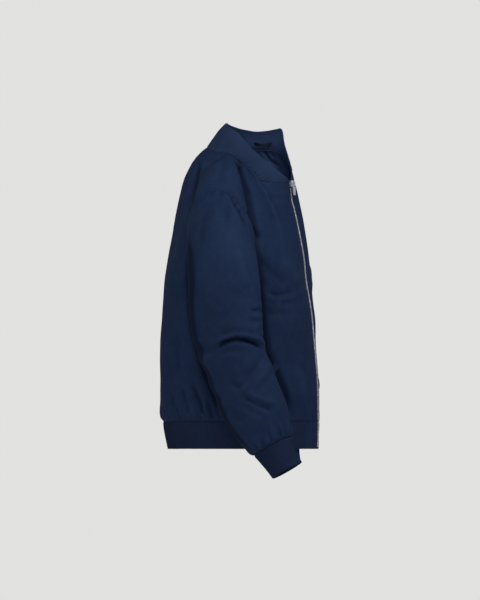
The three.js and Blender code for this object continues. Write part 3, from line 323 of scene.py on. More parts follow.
BACK_LEFT = creases(
    ([(-87, 630), (-96, 590), (-104, 548), (-108, 505), (-110, 460)], 6.5, 5.5, 0.2, -0.3, 0.15, 0.3),
    ([(-108, 490), (-113, 430), (-112, 350), (-106, 280), (-100, 200), (-96, 120)],
     5.5, 8, 0.1, 0.4, 0.15, 0.2),
    ([(-102, 580), (-111, 530), (-118, 470), (-121, 410)], 3.0, 7, 0.4, -0.4, 0.3, 0.4),
    ([(-106, 460), (-117, 390), (-121, 318)], 3.0, 10, 0.3, 0, 0.3, 0.4),
    ([(-130, 280), (-134, 222), (-138, 165)], 4.6, 13, 0.3, 0.3, 0.35, 0.35),
    ([(-112, 240), (-106, 190), (-98, 146)], 3.0, 10, 0.3, -0.3, 0.4, 0.35),
    ([(-120, 132), (-115, 104), (-108, 72)], 5.0, 6, 0.55, 0.2, 0.35, 0.1),
    ([(-92, 152), (-84, 114), (-74, 74)], 5.2, 6.5, 0.55, 0.2, 0.35, 0.1),
    ([(-138, 100), (-134, 82), (-129, 66)], 3.2, 5, 0.5, 0, 0.35, 0.1),
    ([(-62, 112), (-58, 92), (-56, 70)], 3.4, 5, 0.5, 0, 0.35, 0.1),
    ([(-151, 118), (-149, 92), (-147, 68)], 2.4, 6, 0.5, 0, 0.4, 0.1),
)
SLEEVE = creases(
    # the deep crease in the crook of the elbow, with the swell above it
    ([(-48, 222), (-42, 229), (-33, 235.5), (-11, 241.5), (11, 240), (33, 233), (52, 220)],
     9.5, 4.6, 0.3, 0.8, 0.2, 0.2),
    ([(-48, 206), (-30, 214), (-8, 216), (14, 212)], 2.4, 6, 0.5, 0.4, 0.35, 0.4),
    ([(24, 304.5), (36, 303), (50, 304)], 3.8, 5, 0.5, 0.4, 0.35, 0),
    ([(14, 282), (32, 279), (52, 283)], 2.0, 6, 0.5, 0.2, 0.4, 0.1),
    ([(30, 258), (44, 262), (58, 270)], 2.2, 6, 0.5, 0, 0.4, 0.1),
    # from the elbow down the forearm
    ([(58, 212), (40, 186), (16, 160), (6, 128)], 2.6, 9, 0.4, -0.3, 0.15, 0.45),
    ([(70, 196), (56, 166), (30, 138), (12, 128)], -2.6, 8, 0, 0, 0.2, 0.3),
    ([(5, 116), (22, 106), (42, 96), (72, 84)], 4.6, 6.5, 0.55, 0.5, 0.25, 0.2),
    ([(4, 122), (9, 133), (20, 143)], -2.8, 6, 0, 0, 0.25, 0.35),
    ([(-22, 150), (-8, 137), (4, 128)], 2.6, 7, 0.4, 0.3, 0.35, 0.3),
    ([(2, 98), (26, 84), (58, 66)], 2.4, 7, 0.4, 0.2, 0.35, 0.35),
    ([(-100, 190), (-84, 168), (-64, 150)], 4.4, 10, 0.4, 0, 0.2, 0.35),
    ([(-92, 228), (-74, 214), (-56, 208)], 3.0, 8, 0.4, 0, 0.1, 0.4),
    ([(-72, 128), (-48, 112), (-26, 104)], 2.6, 8, 0.4, 0, 0.2, 0.4),
    ([(-34, 92), (-8, 70), (18, 58)], 2.4, 8, 0.4, 0, 0.2, 0.4),
    # fullness of the upper sleeve
    ([(-18, 552), (-10, 536), (0, 521), (9, 502), (16, 484)], 5.2, 4.6, 0.5, -0.4, 0, 0.35),
    ([(-30, 532), (-26, 510), (-20, 480), (-12, 440)], 2.4, 8, 0.5, 0, 0.1, 0.5),
    ([(-74, 530), (-80, 500), (-86, 455), (-88, 400)], 2.4, 10, 0.4, 0, 0.1, 0.5),
    ([(2, 470), (18, 430), (28, 392), (30, 350)], 2.2, 10, 0.4, 0, 0.3, 0.4),
    ([(-104, 470), (-104, 410), (-98, 350), (-94, 300)], 2.4, 10, 0.4, 0, 0.3, 0.4),
    ([(-40, 352), (-20, 340), (8, 338), (30, 346)], 1.3, 12, 0.4, 0, 0.4, 0.4),
    ([(-48, 268), (-16, 270), (20, 266), (46, 258)], -3.0, 12, 0, 0, 0.3, 0.2),
)


# Painted shade: two dark strips in the cloth's colour. They follow the sleeve's edges as
# the photo's view shows them, and no fold or hollow of the cloth lies there. A depth of
# 0 takes a strip away.
BACK_STRIP_DEPTH, BACK_STRIP_START, BACK_STRIP_END = 8.5, (252, 266), (300, 316)
FRONT_STRIP_DEPTH, FRONT_STRIP_WIDTH = 3.4, 26
SLEEVE_FRONT = table("height forward", [
    [76, 116], [116, 99], [152, 81], [190, 66], [218, 57], [251, 51], [306, 48], [365, 44], [416, 40],
    [460, 34], [515, 22],
])


def crease_push(points, rows, seed):
    """Sum of the creases at the points: troughs sink, and the cloth swells beside them."""
    forward = -SIDE_TURN * np.abs(points[..., 0]) - SIDE_DEPTH * points[..., 1]
    height = points[..., 2]
    rng = np.random.default_rng(seed)
    total = np.zeros(height.shape)
    for row in rows:
        line = np.array(row["points"], float)
        lengths = np.linalg.norm(np.diff(line, axis=0), axis=1)
        whole = lengths.sum()
        best = np.full(height.shape, 1e9)
        side = np.zeros(height.shape)
        where = np.zeros(height.shape)
        done = 0.0
        for (h0, z0), (h1, z1), length in zip(line[:-1], line[1:], lengths):
            dh, dz = (h1 - h0) / length, (z1 - z0) / length
            run = np.clip((forward - h0) * dh + (height - z0) * dz, 0, length)
            gap = np.hypot(forward - h0 - run * dh, height - z0 - run * dz)
            near = gap < best
            best = np.where(near, gap, best)
            side = np.where(near, np.sign((forward - h0) * -dz + (height - z0) * dh), side)
            where = np.where(near, (done + run) / whole, where)
            done += length
        fade = np.ones(height.shape)
        if row["fade0"]:
            fade *= smooth(-0.08, row["fade0"], where)
        if row["fade1"]:
            fade *= 1 - smooth(1 - row["fade1"], 1.08, where)
        wobble = 1 + 0.16 * np.sin(where * rng.uniform(5, 9) + rng.uniform(0, 6))
        width = row["width"] * (0.85 + 0.3 * where)
        trough = np.exp(-((best / width) ** 2))
        beside = np.exp(-(((best - 2.1 * width) / (1.15 * width)) ** 2)) * (1 + row["lean"] * side)
        total += row["depth"] * fade * wobble * (row["swell"] * beside - trough)
    return total


# Grids of points

TO_METRES = np.array([0, 0, -NECK_LEVEL])


def spacing(length, count, fine=(0, 0.7, 1.6, 2.8, 4.5, 6.8)):
    """Shares of a length, with close lines near both ends."""
    fine = np.array(fine)
    middle = np.linspace(fine[-1], length - fine[-1], count)
    return np.concatenate([fine[:-1], middle, length - fine[:-1][::-1]]) / length


def normals_of(grid, around=False):
    if around:
        across = np.roll(grid, -1, 1) - np.roll(grid, 1, 1)
    else:
        across = np.gradient(grid, axis=1)
    return unit(np.cross(across, np.gradient(grid, axis=0)))


def run_along(grid, axis):
    step = np.linalg.norm(np.diff(grid, axis=axis), axis=-1)
    zero = np.zeros_like(np.take(step, [0], axis))
    return np.concatenate([zero, np.cumsum(step, axis)], axis)


def seam_fall(distance, depth=0.5, width=2.2):
    return -depth * np.exp(-((np.maximum(distance, 0) / width) ** 2))


ALLOWANCE = np.array([3.2, 2.4, 1.6, 0.8])  # rows of a piece that lie under the next one
UNDER = 1.0  # how far under it they lie
BLOCK_UNDER = 2.4  # strip of a hem block that lies inside the end of the band


class Piece:
    """A piece of cloth as a grid of middle points, rows upwards, facing outwards."""

    def __init__(self, grid, around=False):
        self.around = around
        self.flipped = False
        self.grid = grid
        self.normal = normals_of(grid, around)
        self.u = run_along(grid, 1)
        self.v = run_along(grid, 0)
        self.u_left = self.u[:, -1:] - self.u
        self.v_left = self.v[-1:] - self.v
        # The cloth's colour darkens where this is low: painted shade in creases and in the painted strips.
        self.relief_and_painted_shade = np.zeros(grid.shape[:2])  # the cloth's colour follows it, lighter when high

    def push(self, amount):
        self.grid = self.grid + self.normal * amount[..., None]
        self.relief_and_painted_shade = self.relief_and_painted_shade + amount

    def settle(self):
        self.normal = normals_of(self.grid, self.around) * (-1 if self.flipped else 1)

    def face_out(self, row):
        """Turns the normals of a tube outwards, judged by one of its rows."""
        centre = self.grid.mean(1, keepdims=True)
        if ((self.grid - centre) * self.normal)[row].sum() < 0:
            self.normal = -self.normal
            self.flipped = True

    def allow(self, low=0.0, high=0.0):
        """The first or last rows lie under the next piece, so lengths count from the seam."""
        self.v = self.v - low
        self.v_left = self.v_left - high


# Quarters of the body


def ring_point(sign, facing, turn, height):
    across = np.sin(turn * np.pi / 2)
    x = sign * read(BODY, "height", "halfWidth", height) * across
    if facing == "back":
        y = read(BODY, "height", "back", height) * np.cos(turn * np.pi / 2)
    else:
        ridge = read(BODY, "height", "ridge", height)
        square = read(BODY, "height", "square", height)
        depth = read(BODY, "height", "front", height) - ridge
        arch = np.maximum(0, 1 - np.abs(across) ** square) ** (1 / square)
        y = -depth * arch - ridge * np.exp(-((x / 62) ** 2)) * arch
    return np.stack(np.broadcast_arrays(x, y, height), -1)


def mirrored(points, sign):
    return [[sign * x, y, z] for x, y, z in points]


def upper_edge(facing, side, s):
    sign = -1 if side == "right" else 1
    neck = curve_through(mirrored(NECK[f"{facing} {side}"], sign))
    t = np.clip((s - NECK_SHARE) / (1 - NECK_SHARE), 0, 1)
    start = neck(1.0)
    tip = np.array([sign * SHOULDER_TIP[0], *SHOULDER_TIP[1:]], float)
    shoulder = lerp(np.broadcast_to(start, (*t.shape, 3)), tip, t)
    shoulder[..., 2] += SHOULDER_RISE * np.sin(np.pi * t)
    return np.where((s <= NECK_SHARE)[..., None], neck(s / NECK_SHARE), shoulder)


def armhole_point(facing, sign, share):
    point = ARMHOLE[facing](share)
    point[..., 0] *= sign
    return point


def centre_point(facing, share):
    sheet = CENTRE[facing]
    height = UNDERARM + (sheet["height"][-1] - UNDERARM) * share
    return np.stack([np.zeros_like(height), read(sheet, "height", "y", height), height], -1)


def quarter(facing, side, s, level):
    """Plain points of a quarter: level 0 is the hem seam, 1 the underarm, 2 the top."""
    sign = -1 if side == "right" else 1
    low = ring_point(sign, facing, s, HEM_SEAM + (UNDERARM - HEM_SEAM) * np.minimum(level, 1))
    share = np.clip(level - 1, 0, 1)
    centre, hole = centre_point(facing, share), armhole_point(facing, sign, share)
    ones = np.ones_like(s)
    under = np.full_like(s, UNDERARM)
    ring = ring_point(sign, facing, s, under) - lerp(
        ring_point(sign, facing, 0 * s, under), ring_point(sign, facing, ones, under), s)
    top = upper_edge(facing, side, s) - lerp(
        upper_edge(facing, side, 0 * s), upper_edge(facing, side, ones), s)
    bend = share ** (2.2 if facing == "front" else 1.7)
    fullness = (centre[..., 1] - hole[..., 1]) / centre_point(facing, 0 * share)[..., 1]
    high = lerp(centre, hole, s)
    high[..., 0] += ring[..., 0] * (1 - share) + top[..., 0] * share
    high[..., 1] += ring[..., 1] * fullness * (1 - bend) + top[..., 1] * bend
    high[..., 2] += top[..., 2] * share
    return np.where((level <= 1)[..., None], low, high)


LOW_ROWS, HIGH_ROWS = 92, 70  # rows of a body piece below and above the underarm
HIGH_LENGTH = 230.0  # length of a body piece above the underarm
EVEN_STEP = 4.6  # the close rows at both sides of the underarm are left out


def body_levels():
    low = spacing(UNDERARM - HEM_SEAM, LOW_ROWS)
    high = spacing(HIGH_LENGTH, HIGH_ROWS)
    keep = low < 1 - EVEN_STEP / (UNDERARM - HEM_SEAM)
    return np.concatenate([low[keep], 1 + high[high > EVEN_STEP / HIGH_LENGTH]])


def hem_gathers(piece, girth, calm):
    """The fullness that the band draws in: round ridges with narrow valleys."""
    height = piece.grid[..., 2]
    drift = crumple(piece.grid * [1, 1, 0.15], 90, 5) * 1.7
    phase = girth / 21.0 * np.pi + drift
    folds = 2.0 * np.abs(np.cos(phase)) ** 0.8 - 1.25
    reach = 58 + 26 * crumple(piece.grid * [1, 1, 0], 46, 9)
    rise = smooth(0, 11, height - HEM_SEAM)
    fall = 1 - smooth(8, np.maximum(reach, 26), height - HEM_SEAM)
    broad = np.sin(girth / 68.0 * 2 * np.pi + 1.3 * drift) * smooth(0, 16, height - HEM_SEAM) * (
        1 - smooth(HEM_SEAM + 14, 128, height))
    swell = smooth(0, 9, height - HEM_SEAM) * (1 - smooth(12, 46, height - HEM_SEAM))
    piece.push(calm * (1.9 * folds * rise * fall + 2.2 * broad + 1.6 * swell))


def seam_puckers(piece, distance, run, seed, depth=0.55, reach=11, wave=12.5):
    """Small draws where a seam has been sewn a little tight."""
    drift = crumple(piece.grid, 60, seed) * 1.6
    size = 0.55 + 0.45 * crumple(piece.grid, 85, seed + 1)
    near = np.exp(-((distance / reach) ** 2)) * smooth(0.3, 3.5, distance)
    piece.push(depth * size * near * np.sin(run / wave * 2 * np.pi + drift))


def round_shoulder(piece):
    """Fullness on both sides of the shoulder seam, so that it isn't a sharp edge."""
    outward = smooth(84, 110, np.abs(piece.grid[..., 0])) * smooth(0, 26, np.minimum(piece.u, piece.u_left))
    near = smooth(0, 16, piece.v_left) * (1 - smooth(20, 74, piece.v_left))
    piece.push(4.2 * outward * near)


def crumpled(piece, inside, seed):
    """Soft unevenness of cloth that has been worn, calmed towards the seams."""
    rough = crumple(piece.grid, 120, seed, (1.2, 1.2, 0.7))
    fine = crumple(piece.grid, 46, seed + 1, (1.3, 1.3, 0.8))
    small = crumple(piece.grid, 19, seed + 2, (1, 1, 1), 20)
    patch = smooth(-0.6, 1.3, crumple(piece.grid, 160, seed + 3))
    piece.push(inside * (1.0 * rough + 0.5 * fine * (0.4 + patch) + 0.12 * small * patch))


def sleeve_shade(points):
    """Share of painted shade on a front, along the sleeve's edge in the photo's view."""
    forward = -SIDE_TURN * np.abs(points[..., 0]) - SIDE_DEPTH * points[..., 1]
    height = points[..., 2]
    edge = read(SLEEVE_FRONT, "height", "forward", height)
    near = np.exp(-((np.maximum(forward - edge, 0) / FRONT_STRIP_WIDTH) ** 2)) * (forward > edge - 40)
    return near * smooth(70, 130, height) * (1 - smooth(400, 470, height))


FRONT_COLUMNS = spacing(FRONT_GIRTH - 4, 100)  # places of the columns, as shares of the girth


def front_piece(side):
    sign = -1 if side == "right" else 1
    first = FRONT_EDGE / FRONT_GIRTH
    s = first + (1 - first) * FRONT_COLUMNS
    if side == "right":
        s = s[::-1]
    level = body_levels()
    s, level = np.meshgrid(s, level)
    piece = Piece(quarter("front", side, s, level))
    zip_edge, side_edge = (piece.u_left, piece.u) if side == "right" else (piece.u, piece.u_left)
    inside = smooth(0, 20, np.minimum.reduce([zip_edge, side_edge, piece.v, piece.v_left]))
    free = smooth(0, 9, np.minimum.reduce([zip_edge * 0.5, side_edge, piece.v, piece.v_left]))
    rows = FRONT_RIGHT if side == "right" else FRONT_LEFT
    piece.push(crease_push(piece.grid, rows, 21 + sign) * free)
    calm = smooth(18, 100, np.abs(piece.grid[..., 0]))
    hem_gathers(piece, zip_edge, calm)
    piece.relief_and_painted_shade = piece.relief_and_painted_shade - FRONT_STRIP_DEPTH * sleeve_shade(piece.grid)
    crumpled(piece, inside, 40 + sign)
    seam_puckers(piece, zip_edge, piece.v, 60 + sign, 0.6, 13, 17)
    round_shoulder(piece)
    seam_puckers(piece, piece.v_left, piece.u, 64 + sign, 1.2, 12, 13)
    seam_puckers(piece, side_edge, piece.v, 68 + sign, 0.6, 10, 15)
    piece.push(seam_fall(side_edge) + seam_fall(piece.v_left) + seam_fall(piece.v)
               + seam_fall(zip_edge, 0.35, 1.0))
    piece.settle()
    piece.zip_edge, piece.side_edge = zip_edge, side_edge
    return piece


def back_piece():
    half = spacing(BACK_GIRTH, 88)
    half = half[half > 0.012]
    level = body_levels()
    s_left, level_left = np.meshgrid(half[::-1], level)
    s_right, level_right = np.meshgrid(np.concatenate([[0], half]), level)
    grid = np.concatenate(
        [quarter("back", "left", s_left, level_left), quarter("back", "right", s_right, level_right)], 1)
    piece = Piece(grid)
    edge = np.minimum(piece.u, piece.u_left)
    inside = smooth(0, 20, np.minimum.reduce([edge, piece.v, piece.v_left]))
    free = smooth(0, 9, np.minimum.reduce([edge, piece.v, piece.v_left]))
    share = smooth(-14, 14, grid[..., 0])
    piece.push(free * (crease_push(grid, BACK_RIGHT, 31) * (1 - share)
                       + crease_push(grid, BACK_LEFT, 33) * share))
    hem_gathers(piece, piece.u + 7, np.ones(edge.shape))
    crumpled(piece, inside, 50)
    round_shoulder(piece)
    seam_puckers(piece, piece.v_left, piece.u, 72, 1.2, 12, 13)
    seam_puckers(piece, edge, piece.v, 74, 0.6, 10, 15)
    piece.push(seam_fall(edge) + seam_fall(piece.v_left) + seam_fall(piece.v))
    piece.settle()
    return piece


# Sleeves and cuffs


def arm_ring(sheet, along, sign, angle):
    """Points of the tube: angle 0 is the outer side, a quarter turn the front."""
    def col(name):
        return read(sheet, "along", name, along)
    x0 = sign * col("x")
    y0 = (-SIDE_TURN * np.abs(x0) - col("forward")) / SIDE_DEPTH
    tilt = np.radians(col("tilt"))
    inward = np.where(np.cos(angle) < 0, 0.86, 1)
    depth = col("halfDepth") * np.sin(angle)
    x = x0 + sign * col("halfWidth") * np.cos(angle) * inward
    return np.stack(np.broadcast_arrays(
        x, y0 - depth * np.cos(tilt), col("height") + depth * np.sin(tilt)), -1)


SLEEVE_ROUND = 168
# How the sleeve's head leaves the armhole: weights of the direction, and lengths of the
# curve's two handles, which are longer on the outer side.
HEAD = {
    "sideways": 0.72, "sideways_inside": 0.28, "forward": 0.12, "down": 0.12, "down_outside": 0.42,
    "start_handle": 9, "start_outside": 62, "start_power": 1.2,
    "end_handle": 5, "end_outside": 118, "end_power": 1.3,
}


def sleeve_piece(side):
    sign = -1 if side == "right" else 1
    sheet = ARM[side]
    angle = np.linspace(0, 2 * np.pi, SLEEVE_ROUND, endpoint=False)
    front = angle <= np.pi
    share = np.where(front, 1 - angle / np.pi, angle / np.pi - 1)
    start = np.where(front[:, None], armhole_point("front", sign, share),
                     armhole_point("back", sign, share))
    outer = (1 + np.cos(angle)) / 2
    leave = unit(np.stack([
        sign * (HEAD["sideways"] + HEAD["sideways_inside"] * (1 - outer)),
        -HEAD["forward"] * np.maximum(0, np.sin(angle)),
        -HEAD["down"] - HEAD["down_outside"] * outer,
    ], -1))
    inward = unit(start.mean(0) - start)
    start = start + leave * 0.15
    end = arm_ring(sheet, np.zeros_like(angle), sign, angle)
    first_handle = HEAD["start_handle"] + HEAD["start_outside"] * outer ** HEAD["start_power"]
    last_handle = HEAD["end_handle"] + HEAD["end_outside"] * outer ** HEAD["end_power"]
    c1 = start + leave * first_handle[:, None]
    c2 = end + np.array([0, 0, 1]) * last_handle[:, None]
    t = (np.concatenate([[0, 0.004, 0.010, 0.02, 0.032], np.linspace(0.046, 1, 54)[:-1]]))[:, None, None]
    cap = start * (1 - t) ** 3 + 3 * c1 * t * (1 - t) ** 2 + 3 * c2 * t**2 * (1 - t) + end * t**3
    hidden = [start - leave * d + inward * UNDER * smooth(-0.4, 1.4, d) for d in ALLOWANCE]
    cap = np.concatenate([np.stack(hidden), cap])
    along = np.concatenate([np.linspace(0, ARM_END - 7, 100), ARM_END - np.array([5, 3.2, 1.8, 0.8, 0])])
    angles, alongs = np.meshgrid(angle, along)
    tube = arm_ring(sheet, alongs, sign, angles)
    grid = np.concatenate([cap, tube])[::-1]  # rows upwards, from the cuff to the shoulder
    angles = np.concatenate([np.broadcast_to(angle, cap.shape[:2]), angles])[::-1]
    if sign < 0:
        grid, angles = grid[:, ::-1], angles[:, ::-1]
    piece = Piece(grid, True)
    piece.face_out(40)
    piece.allow(high=ALLOWANCE[0])
    low, high = piece.v, piece.v_left
    tube_rows = (np.arange(grid.shape[0]) < len(along))[:, None]
    side_share = smooth(-0.5, 0.15, np.cos(angles))
    free = smooth(1, 14, high) * smooth(1, 10, low)
    push = crease_push(grid, SLEEVE, 80 + sign) * side_share * free
    # the inner side has a few softer ones of its own
    push += 0.35 * crease_push(grid + [0, 9, 13], SLEEVE, 84 + sign) * (1 - side_share) * free * tube_rows
    piece.push(push)
    # gathers drawn into the cuff
    drift = crumple(grid, 70, 90 + sign)
    reach = 44 + 20 * crumple(grid * [1, 1, 0.2], 40, 92 + sign)
    rise = smooth(0, 9, low) * (1 - smooth(10, np.maximum(reach, 24), low))
    folds = 2.0 * np.abs(np.cos(angles * 8 + 0.9 * drift)) ** 0.8 - 1.2
    broad = np.sin(angles * 7 + sign * 0.6) * smooth(0, 20, low) * (1 - smooth(16, 66, low))
    swell = smooth(0, 8, low) * (1 - smooth(10, 38, low))
    piece.push(2.9 * folds * rise + 1.8 * broad + 1.6 * swell)
    # small puckers where the full sleeve head is eased into the armhole
    head = smooth(0.35, 0.9, np.cos(angles))
    ease = np.exp(-((high / 19) ** 2)) * smooth(0.3, 4, high)
    girth = angles * 62
    piece.push(head * ease * 3.2 * np.sin(girth / 9.6 * 2 * np.pi + 1.2 * crumple(grid, 30, 95)))
    piece.push(0.5 * (1 - head) * ease * np.sin(girth / 14.0 * 2 * np.pi + 1.5 * drift))
    inside = smooth(2, 24, np.minimum(low, high))
    crumpled(piece, inside * (0.5 + 0.5 * side_share), 100 + sign)
    piece.push(seam_fall(low) + seam_fall(high))
    # painted shade along the back edge that the photo's view shows
    strip = smooth(*np.radians(BACK_STRIP_START), angles)
    strip *= 1 - smooth(*np.radians(BACK_STRIP_END), angles)
    piece.relief_and_painted_shade = piece.relief_and_painted_shade - BACK_STRIP_DEPTH * strip * smooth(60, 110, high) * smooth(0, 60, low)
    piece.settle()
    return piece


def cuff_piece(side):
    sign = -1 if side == "right" else 1
    around = 80 * 5
    angle = np.linspace(0, 2 * np.pi, around, endpoint=False)
    along = np.concatenate([[0, 0.8, 1.8, 3.2], np.linspace(5, 57, 12), [58.6, 59.4, 59.8, 60]])
    angles, alongs = np.meshgrid(angle, np.concatenate([-ALLOWANCE, along]))
    grid = arm_ring(CUFF[side], alongs, sign, angles)
    upward = unit(grid[len(ALLOWANCE)].mean(0) - grid[-1].mean(0))
    inward = unit(grid[len(ALLOWANCE)].mean(0) - grid[len(ALLOWANCE)])
    for row, d in enumerate(ALLOWANCE):
        grid[row] += upward * d + inward * UNDER * smooth(-0.4, 1.4, d)
    grid, angles = grid[::-1], angles[::-1]
    if sign < 0:
        grid, angles = grid[:, ::-1], angles[:, ::-1]
    piece = Piece(grid, True)
    piece.allow(high=ALLOWANCE[0])
    piece.face_out(3)
    wave = crumple(grid, 42, 110 + sign) * smooth(0, 6, piece.v_left)
    piece.push(0.55 * wave + seam_fall(piece.v_left))
    piece.settle()
    piece.ribs = (0.5 + 0.5 * np.cos(angles * 80)) * 0.75 * smooth(0, 2.5, piece.v_left) * smooth(
        0, 1.2, piece.v)
    piece.rib_phase = angles * 80 / (2 * np.pi)
    return piece


# Hem and collar


def turn_at(width, height):
    return np.arcsin(width / read(BODY, "height", "halfWidth", height)) / (np.pi / 2)


def tucked(grid):
    """Sets what is above the hem seam in behind the panel."""
    behind = UNDER * smooth(-0.4, 1.4, grid[..., 2] - HEM_SEAM)
    return grid - normals_of(grid) * behind[..., None]


def hem_band_piece():
    height = np.concatenate([[0.15, 0.4, 0.9, 1.8], np.linspace(3.4, 55.8, 8),
                             HEM_SEAM - np.array([2.4, 1.3, 0.6, 0.1]),
                             HEM_SEAM + ALLOWANCE[::-1]])[:, None]
    dense = 2400
    parts = []
    for facing, sign, backward in (("front", 1, 0), ("back", 1, 1), ("back", -1, 0), ("front", -1, 1)):
        first = turn_at(BLOCK_EDGE, height) if facing == "front" else 0.0 * height
        t = np.linspace(0, 1, dense)[None]
        turn = first + (1 - first) * (1 - t if backward else t)
        part = ring_point(sign, facing, turn, np.broadcast_to(height, turn.shape))
        parts.append(part if facing == "front" and sign > 0 else part[:, 1:])
    fine = np.concatenate(parts, 1)
    run = run_along(fine, 1)[6]
    ribs = int(run[-1] / RIB)
    where = np.linspace(0, run[-1], ribs * 5 + 1)
    at = np.interp(where, run, np.arange(len(run)))
    i = np.clip(at.astype(int), 0, len(run) - 2)
    grid = fine[:, i] + (fine[:, i + 1] - fine[:, i]) * (at - i)[None, :, None]
    piece = Piece(tucked(grid))
    piece.allow(high=ALLOWANCE[0])
    phase = np.broadcast_to(where / where[-1] * ribs, grid.shape[:2])
    wave = crumple(grid, 110, 120) * 0.9 + crumple(grid * [1, 1, 0.4], 40, 121) * 0.4
    ends = smooth(0, 20, np.minimum(piece.u, piece.u_left))
    piece.push(wave * ends * smooth(0, 14, piece.v_left) + seam_fall(piece.v_left))
    piece.settle()
    piece.ribs = (0.5 - 0.5 * np.cos(phase * 2 * np.pi)) * 0.8 * smooth(0, 2.5, piece.v_left) * smooth(
        0, 1.6, piece.v) * smooth(0, 1, np.minimum(piece.u, piece.u_left))
    piece.rib_phase = phase
    return piece


def hem_block_piece(side):
    sign = -1 if side == "right" else 1
    height = np.concatenate([[0.2, 0.6, 1.2, 2.2], np.linspace(4, 55, 16),
                             HEM_SEAM - np.array([2.4, 1.3, 0.6, 0.1]),
                             HEM_SEAM + ALLOWANCE[::-1]])[:, None]
    share = spacing(56, 18)
    if sign < 0:
        share = share[::-1]
    first, last = turn_at(FRONT_EDGE, height), turn_at(BLOCK_EDGE + BLOCK_UNDER, height)
    turn = first + (last - first) * share[None]
    piece = Piece(tucked(ring_point(sign, "front", turn, np.broadcast_to(height, turn.shape))))
    piece.allow(high=ALLOWANCE[0])
    zip_edge, outer = (piece.u_left, piece.u) if sign < 0 else (piece.u, piece.u_left)
    inside = smooth(0, 12, np.minimum.reduce([zip_edge, outer, piece.v, piece.v_left]))
    piece.push(0.5 * inside * crumple(piece.grid, 40, 130 + sign))
    piece.push(seam_fall(outer - BLOCK_UNDER) + seam_fall(piece.v_left) + seam_fall(zip_edge, 0.35, 1.0))
    piece.settle()
    piece.zip_edge = zip_edge
    return piece


def collar_piece():
    def run(shape, skip):
        parts = []
        for quarter_name, sign, backward in (
            ("front right", -1, False), ("back right", -1, True),
            ("back left", 1, False), ("front left", 1, True),
        ):
            points = shape[quarter_name][1:] if skip and "front" in quarter_name else shape[quarter_name]
            share = np.linspace(0, 1, 241 if "front" in quarter_name else 141)
            line = curve_through(mirrored(points, sign))(1 - share if backward else share)
            parts.append(line if not parts else line[1:])
        return np.concatenate(parts)

    seam, edge = run(NECK, True), run(COLLAR_EDGE, False)
    along = edge - seam
    height = np.linalg.norm(along, axis=1)
    out = seam - np.array([0, -20, 0])
    out[:, 2] = 0
    out = unit(out)
    start = np.minimum(0.25, 0.4 / height)
    share = np.concatenate([[0, 0.012, 0.03, 0.055], np.linspace(0.09, 0.955, 20),
                            [0.975, 0.988, 0.996, 1]])[:, None]
    t = start + (1 - start) * share
    grid = seam + along * t[..., None] + out * (0.09 * height * t * np.sin(np.pi * t))[..., None]
    hidden = [seam - [0, 0, d] - out * UNDER * smooth(-0.4, 1.4, d) for d in ALLOWANCE]
    grid = np.concatenate([np.stack(hidden), grid])[:, ::-1]
    piece = Piece(grid)
    piece.allow(low=ALLOWANCE[0])
    girth = run_along(grid, 1)[len(share) // 2]
    ribs = int(girth[-1] / 2.4)
    ends = smooth(0, 16, np.minimum(piece.u, piece.u_left))
    wave = 1.1 * crumple(grid, 95, 140) + 0.45 * crumple(grid, 38, 141)
    piece.push(ends * wave * smooth(0, 12, piece.v))
    seam_puckers(piece, piece.v, piece.u, 143, 1.0, 10, 12)
    piece.push(seam_fall(piece.v, 0.4))
    piece.settle()
    phase = np.broadcast_to(girth / girth[-1] * ribs, grid.shape[:2])
    piece.ribs = (0.5 - 0.5 * np.cos(phase * 2 * np.pi)) * 0.28 * smooth(0, 3, piece.v) * smooth(
        0, 1.6, piece.v_left) * smooth(0, 2, np.minimum(piece.u, piece.u_left))
    piece.rib_phase = phase
    return piece


# Meshes


def mesh_object(name, points, faces, materials, index=None, smooth_faces=True):
    """Makes an object from points in millimetres and faces of three or four corners."""
    mesh = bpy.data.meshes.new(name)
    quads = faces.shape[1]
    mesh.vertices.add(len(points))
    mesh.vertices.foreach_set("co", ((points + TO_METRES) / 1000).astype(np.float32).ravel())
    mesh.loops.add(faces.size)
    mesh.loops.foreach_set("vertex_index", faces.astype(np.int32).ravel())
    mesh.polygons.add(len(faces))
    mesh.polygons.foreach_set("loop_start", np.arange(0, faces.size, quads, dtype=np.int32))
    for material in materials:
        mesh.materials.append(material)
    if index is not None:
        mesh.polygons.foreach_set("material_index", index.astype(np.int32))
    mesh.polygons.foreach_set("use_smooth", np.full(len(faces), smooth_faces))
    mesh.update(calc_edges=True)
    mesh.validate()
    item = bpy.data.objects.new(name, mesh)
    bpy.context.scene.collection.objects.link(item)
    return item


def attribute(item, name, values):
    """A value at each point that the materials read: a number or three numbers."""
    kind = "FLOAT" if values.ndim == 1 else "FLOAT_VECTOR"
    data = item.data.attributes.new(name, kind, "POINT").data
    key = "value" if values.ndim == 1 else "vector"
    data.foreach_set(key, values.astype(np.float32).ravel())


